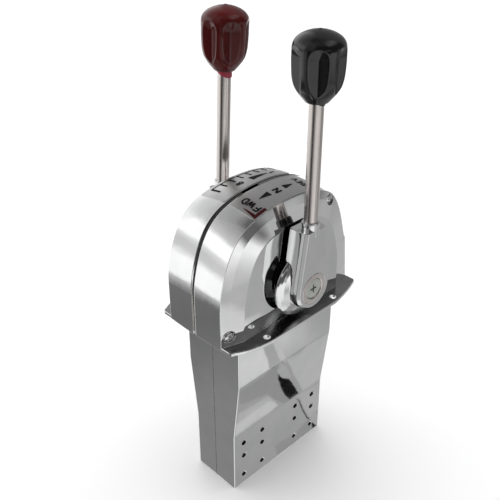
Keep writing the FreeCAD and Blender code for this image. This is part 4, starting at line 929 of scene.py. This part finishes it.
# the surround, a sector at a time: its middle and edges in degrees about Z,
# then brightness against height in degrees
SECTORS = [
    ("left", -128, -66, [(-90, .22), (-55, .3), (-48, .55), (-42, .95), (-24, 1.0), (-21, 1.08), (-9, 1.1), (-4, .66),
                         (1, .64), (6, .8), (12, 1.1), (25, 1.0), (33, .7), (40, .62), (50, .42), (62, .33), (70, .13),
                         (90, .1)]),
    ("front_left", -66, -24, [(-90, .2), (-50, .24), (-42, .235), (-36, .15), (-33, .17), (-30, .34), (-25, .6),
                              (-21, 1.08), (-9, 1.1), (-4, .66), (1, .64), (6, .8), (10, 1.16), (28, 1.16), (32, .85),
                              (36, .64), (42, .55), (50, .45), (60, .38), (66, .28), (71, .13), (90, .1)]),
    ("gap_left", -24, -10, [(-90, .3), (-50, .3), (-30, .4), (-14, .5), (-9, .5), (0, .3), (40, .3), (60, .3), (90, .1)]),
    ("front_gap", -10, 20, [(-90, .3), (-60, .1), (-45, .05), (0, .05), (10, .2), (40, .3), (60, .3), (90, .1)]),
    ("camera_left", 20, 40, [(-90, .8), (-60, .8), (-50, .5), (-30, .42), (-20, .40), (-12, .34), (-8, .12), (45, .05),
                             (60, .2), (90, .12)]),
    ("camera_mid", 40, 62, [(-90, .8), (-60, .8), (-50, .6), (-45, .62), (-30, .88), (-14, .88), (-10, .1), (45, .05), (60, .2),
                            (90, .12)]),
    ("strip_light", 62, 88, [(-90, .8), (-60, .8), (-50, .8), (-45, .9), (-14, .95), (-10, .1), (8, .08), (10, .6), (15, .6),
                             (17, .06), (45, .05), (60, .2), (90, .12)]),
    ("side_light", 88, 118, [(-90, .8), (-60, .8), (-50, .6), (-42, .72), (-34, .66), (-30, .48), (-26, .48),
                             (-20, .75), (-12, 1.0), (-8, .98), (-5, .42), (-3, .15), (2, .12), (5, .1), (30, .08), (38, .12), (45, .45), (58, .9), (66, .6), (75, .3),
                             (90, .12)]),
    ("right", 118, 138, [(-90, .3), (-50, .31), (-45, .37), (-42, .43), (-40, .47), (-38.5, .56), (-37, .8), (-36, .75),
                         (-35.4, .42), (-30, .38), (-24, .4), (-20, .26), (-17, .1), (-10, .1), (-7, .25), (-4, .44), (2, .5), (6, .3), (10, .08),
                         (30, .08), (38, .12),
                         (45, .45), (58, .9), (66, .6), (75, .3), (90, .12)]),
    ("right_far", 138, 162, [(-90, .3), (-50, .36), (-45, .34), (-38, .42), (-35, .36), (-30, .36), (-25, .4),
                             (-8, .42), (0, .2), (5, .1), (30, .08), (38, .12), (45, .45), (58, .9), (66, .6),
                             (75, .3), (90, .12)]),
    ("behind_right", 162, 190, [(-90, .4), (-40, .46), (-25, .44), (-10, .3), (0, .3), (40, .3), (60, .3), (90, .12)]),
    ("behind", -170, -128, [(-90, .3), (-30, .5), (-20, 1.18), (-6, 1.18), (-1, .4), (10, .36), (20, .3), (30, .3),
                            (40, .27), (50, .27), (68, .27), (76, .14), (90, .1)]),
]
BLEND = 3.0   # half the width of the change between two sectors


def window(first, last):
    """1 between the two azimuths, 0 elsewhere, with straight edges."""
    def at(deg):
        return (deg + 180.0) / 360.0
    if last > 180:
        lo, hi = at(first), at(last - 360)
        return [(0.0, 1), (max(0.001, hi - BLEND / 360), 1), (hi + BLEND / 360, 0), (lo - BLEND / 360, 0),
                (lo + BLEND / 360, 1), (1.0, 1)]
    lo, hi = at(first), at(last)
    return [(0.0, 0), (lo - BLEND / 360, 0), (lo + BLEND / 360, 1), (hi - BLEND / 360, 1), (hi + BLEND / 360, 0), (1.0, 0)]


total = None
for name, first, last, profile in SECTORS:
    w = curve(az, window(first, last))
    v = curve(el, [((e + 90.0) / 180.0, val / TOP) for e, val in profile])
    part = math_node("MULTIPLY", w, v)
    total = part if total is None else math_node("ADD", total, part)
back = wn("ShaderNodeBackground")
tint = wn("ShaderNodeCombineColor")
for i in range(3):
    wt.links.new(total, tint.inputs[i])
wt.links.new(tint.outputs[0], back.inputs["Color"])
back.inputs["Strength"].default_value = TOP
wout = wn("ShaderNodeOutputWorld")
wt.links.new(back.outputs[0], wout.inputs["Surface"])


def area(name, loc, target, size, power, size_y=None, shine=False):
    l = bpy.data.lights.new(name, "AREA")
    l.shape = "RECTANGLE"
    l.size = size
    l.size_y = size_y or size
    l.energy = power
    o = bpy.data.objects.new(name, l)
    o.location = loc
    o.rotation_euler = (Vector(target) - Vector(loc)).to_track_quat("-Z", "Y").to_euler()
    o.visible_glossy = shine
    SCENE.collection.objects.link(o)
    return o


area("overhead", (-0.6, -0.8, 4.2), (-0.6, -0.8, 0), 6.5, 300)

# -------------------------------------------------------------------- camera
cam_data = bpy.data.cameras.new("camera")
cam = bpy.data.objects.new("camera", cam_data)
SCENE.collection.objects.link(cam)
SCENE.camera = cam
cam_data.sensor_width = 36.0
cam_data.lens = 50.69
cam_data.clip_start, cam_data.clip_end = 0.01, 50
cam.location = (0.331626, 0.323788, 0.314509)
cam.rotation_mode = "QUATERNION"
cam.rotation_quaternion = Vector((-0.60468, -0.61539, -0.50562)).normalized().to_track_quat("-Z", "Y")
SCENE.view_settings.view_transform = "Standard"
SCENE.view_settings.look = "None"



# ------------------------------------------------ cards seen only in the plate
EYE = cam.location.copy()
AIM = Vector((-0.60468, -0.61539, -0.50562)).normalized()
SIDE = AIM.cross(Vector((0, 0, 1))).normalized()
UPWARD = SIDE.cross(AIM)
LENS = 50.69 / 36.0 * 500.0


def look(px, py):
    return (AIM + SIDE * ((px - 250.0) / LENS) - UPWARD * ((py - 250.0) / LENS)).normalized()


def card(name, outline, at, normal, far, tone):
    """A flat studio card, set where the plate's mirror shows it at these places
    of the frame. at and normal give the mirror's plane."""
    n = Vector(normal).normalized()
    verts = []
    for px, py in outline:
        d = look(px, py)
        hit = EYE + d * ((Vector(at) - EYE).dot(n) / d.dot(n))
        verts.append(hit + (d - n * (2.0 * d.dot(n))) * far)
    mesh = bpy.data.meshes.new(name)
    mesh.from_pydata([tuple(v) for v in verts], [], [tuple(range(len(verts)))])
    o = bpy.data.objects.new(name, mesh)
    SCENE.collection.objects.link(o)
    m = Surface(name + "_card")
    g = m.nt.nodes.new("ShaderNodeEmission")
    g.inputs["Color"].default_value = (tone, tone, tone, 1)
    m.link(g.outputs[0], m.out.inputs["Surface"])
    mesh.materials.append(m.m)
    for flag in ("visible_camera", "visible_diffuse", "visible_transmission", "visible_shadow"):
        setattr(o, flag, False)
    return o


UPPER = ((0, 0.0285, -0.02), (0, 1, 0))
SLANT = ((0, 0.0285, -0.0455), (0, 57.0, -6.5))
LOWER = ((0, 0.022, -0.12), (0, 1, 0))
card("dark_post", [(278.0, 373.0), (281.5, 377.5), (289.5, 379.0), (294.5, 386.5), (298.0, 393.0), (289.0, 399.0),
                   (285.0, 395.5), (281.0, 387.0), (278.5, 380.0)], *SLANT, 0.5, 0.008)
card("pale_post", [(276.5, 371.0), (280.5, 362.5), (287.0, 367.0), (291.0, 376.0), (289.0, 379.5), (281.5, 378.0)],
     *SLANT, 0.52, 0.40)
card("left_shade", [(238.0, 391.0), (262.0, 378.0), (276.0, 366.0), (283.0, 360.0), (292.0, 399.0), (283.0, 403.0),
                    (276.0, 400.0), (268.0, 394.0), (240.0, 404.0)], *SLANT, 0.56, 0.30)
card("streak_a", [(238.0, 414.0), (268.0, 396.5), (277.0, 403.0), (238.0, 430.0)], *SLANT, 0.60, 0.46)
card("streak_b", [(236.0, 424.0), (270.0, 401.0), (279.0, 405.0), (234.0, 438.0)], *SLANT, 0.58, 0.56)
card("right_glow", [(287.0, 360.0), (332.0, 330.0), (330.0, 378.0), (303.0, 392.0)], *SLANT, 0.62, 0.47)
card("corner_shade", [(309.0, 419.5), (319.8, 419.0), (321.0, 422.5), (314.0, 429.0), (308.5, 425.5)], *LOWER, 0.5, 0.008)
card("thin_shade", [(295.5, 398.0), (299.5, 400.0), (303.0, 408.0), (306.5, 415.5), (311.0, 420.5), (309.8, 421.0),
                    (305.5, 416.5), (301.8, 409.0), (298.5, 401.2)], *LOWER, 0.5, 0.05)
card("heel_glow", [(299.0, 395.0), (325.0, 381.0), (325.0, 418.0), (311.0, 419.5), (303.0, 407.0)], *LOWER, 0.56, 0.43)
card("knee_glow", [(232.0, 353.0), (262.0, 345.0), (270.0, 369.0), (236.0, 391.0)], *UPPER, 0.62, 0.66)
card("knee_shade", [(262.0, 345.0), (272.0, 340.0), (281.0, 361.0), (270.0, 370.0)], *UPPER, 0.60, 0.40)
card("knee_streak", [(272.0, 340.0), (277.0, 338.0), (286.0, 359.0), (281.0, 362.0)], *UPPER, 0.58, 0.55)
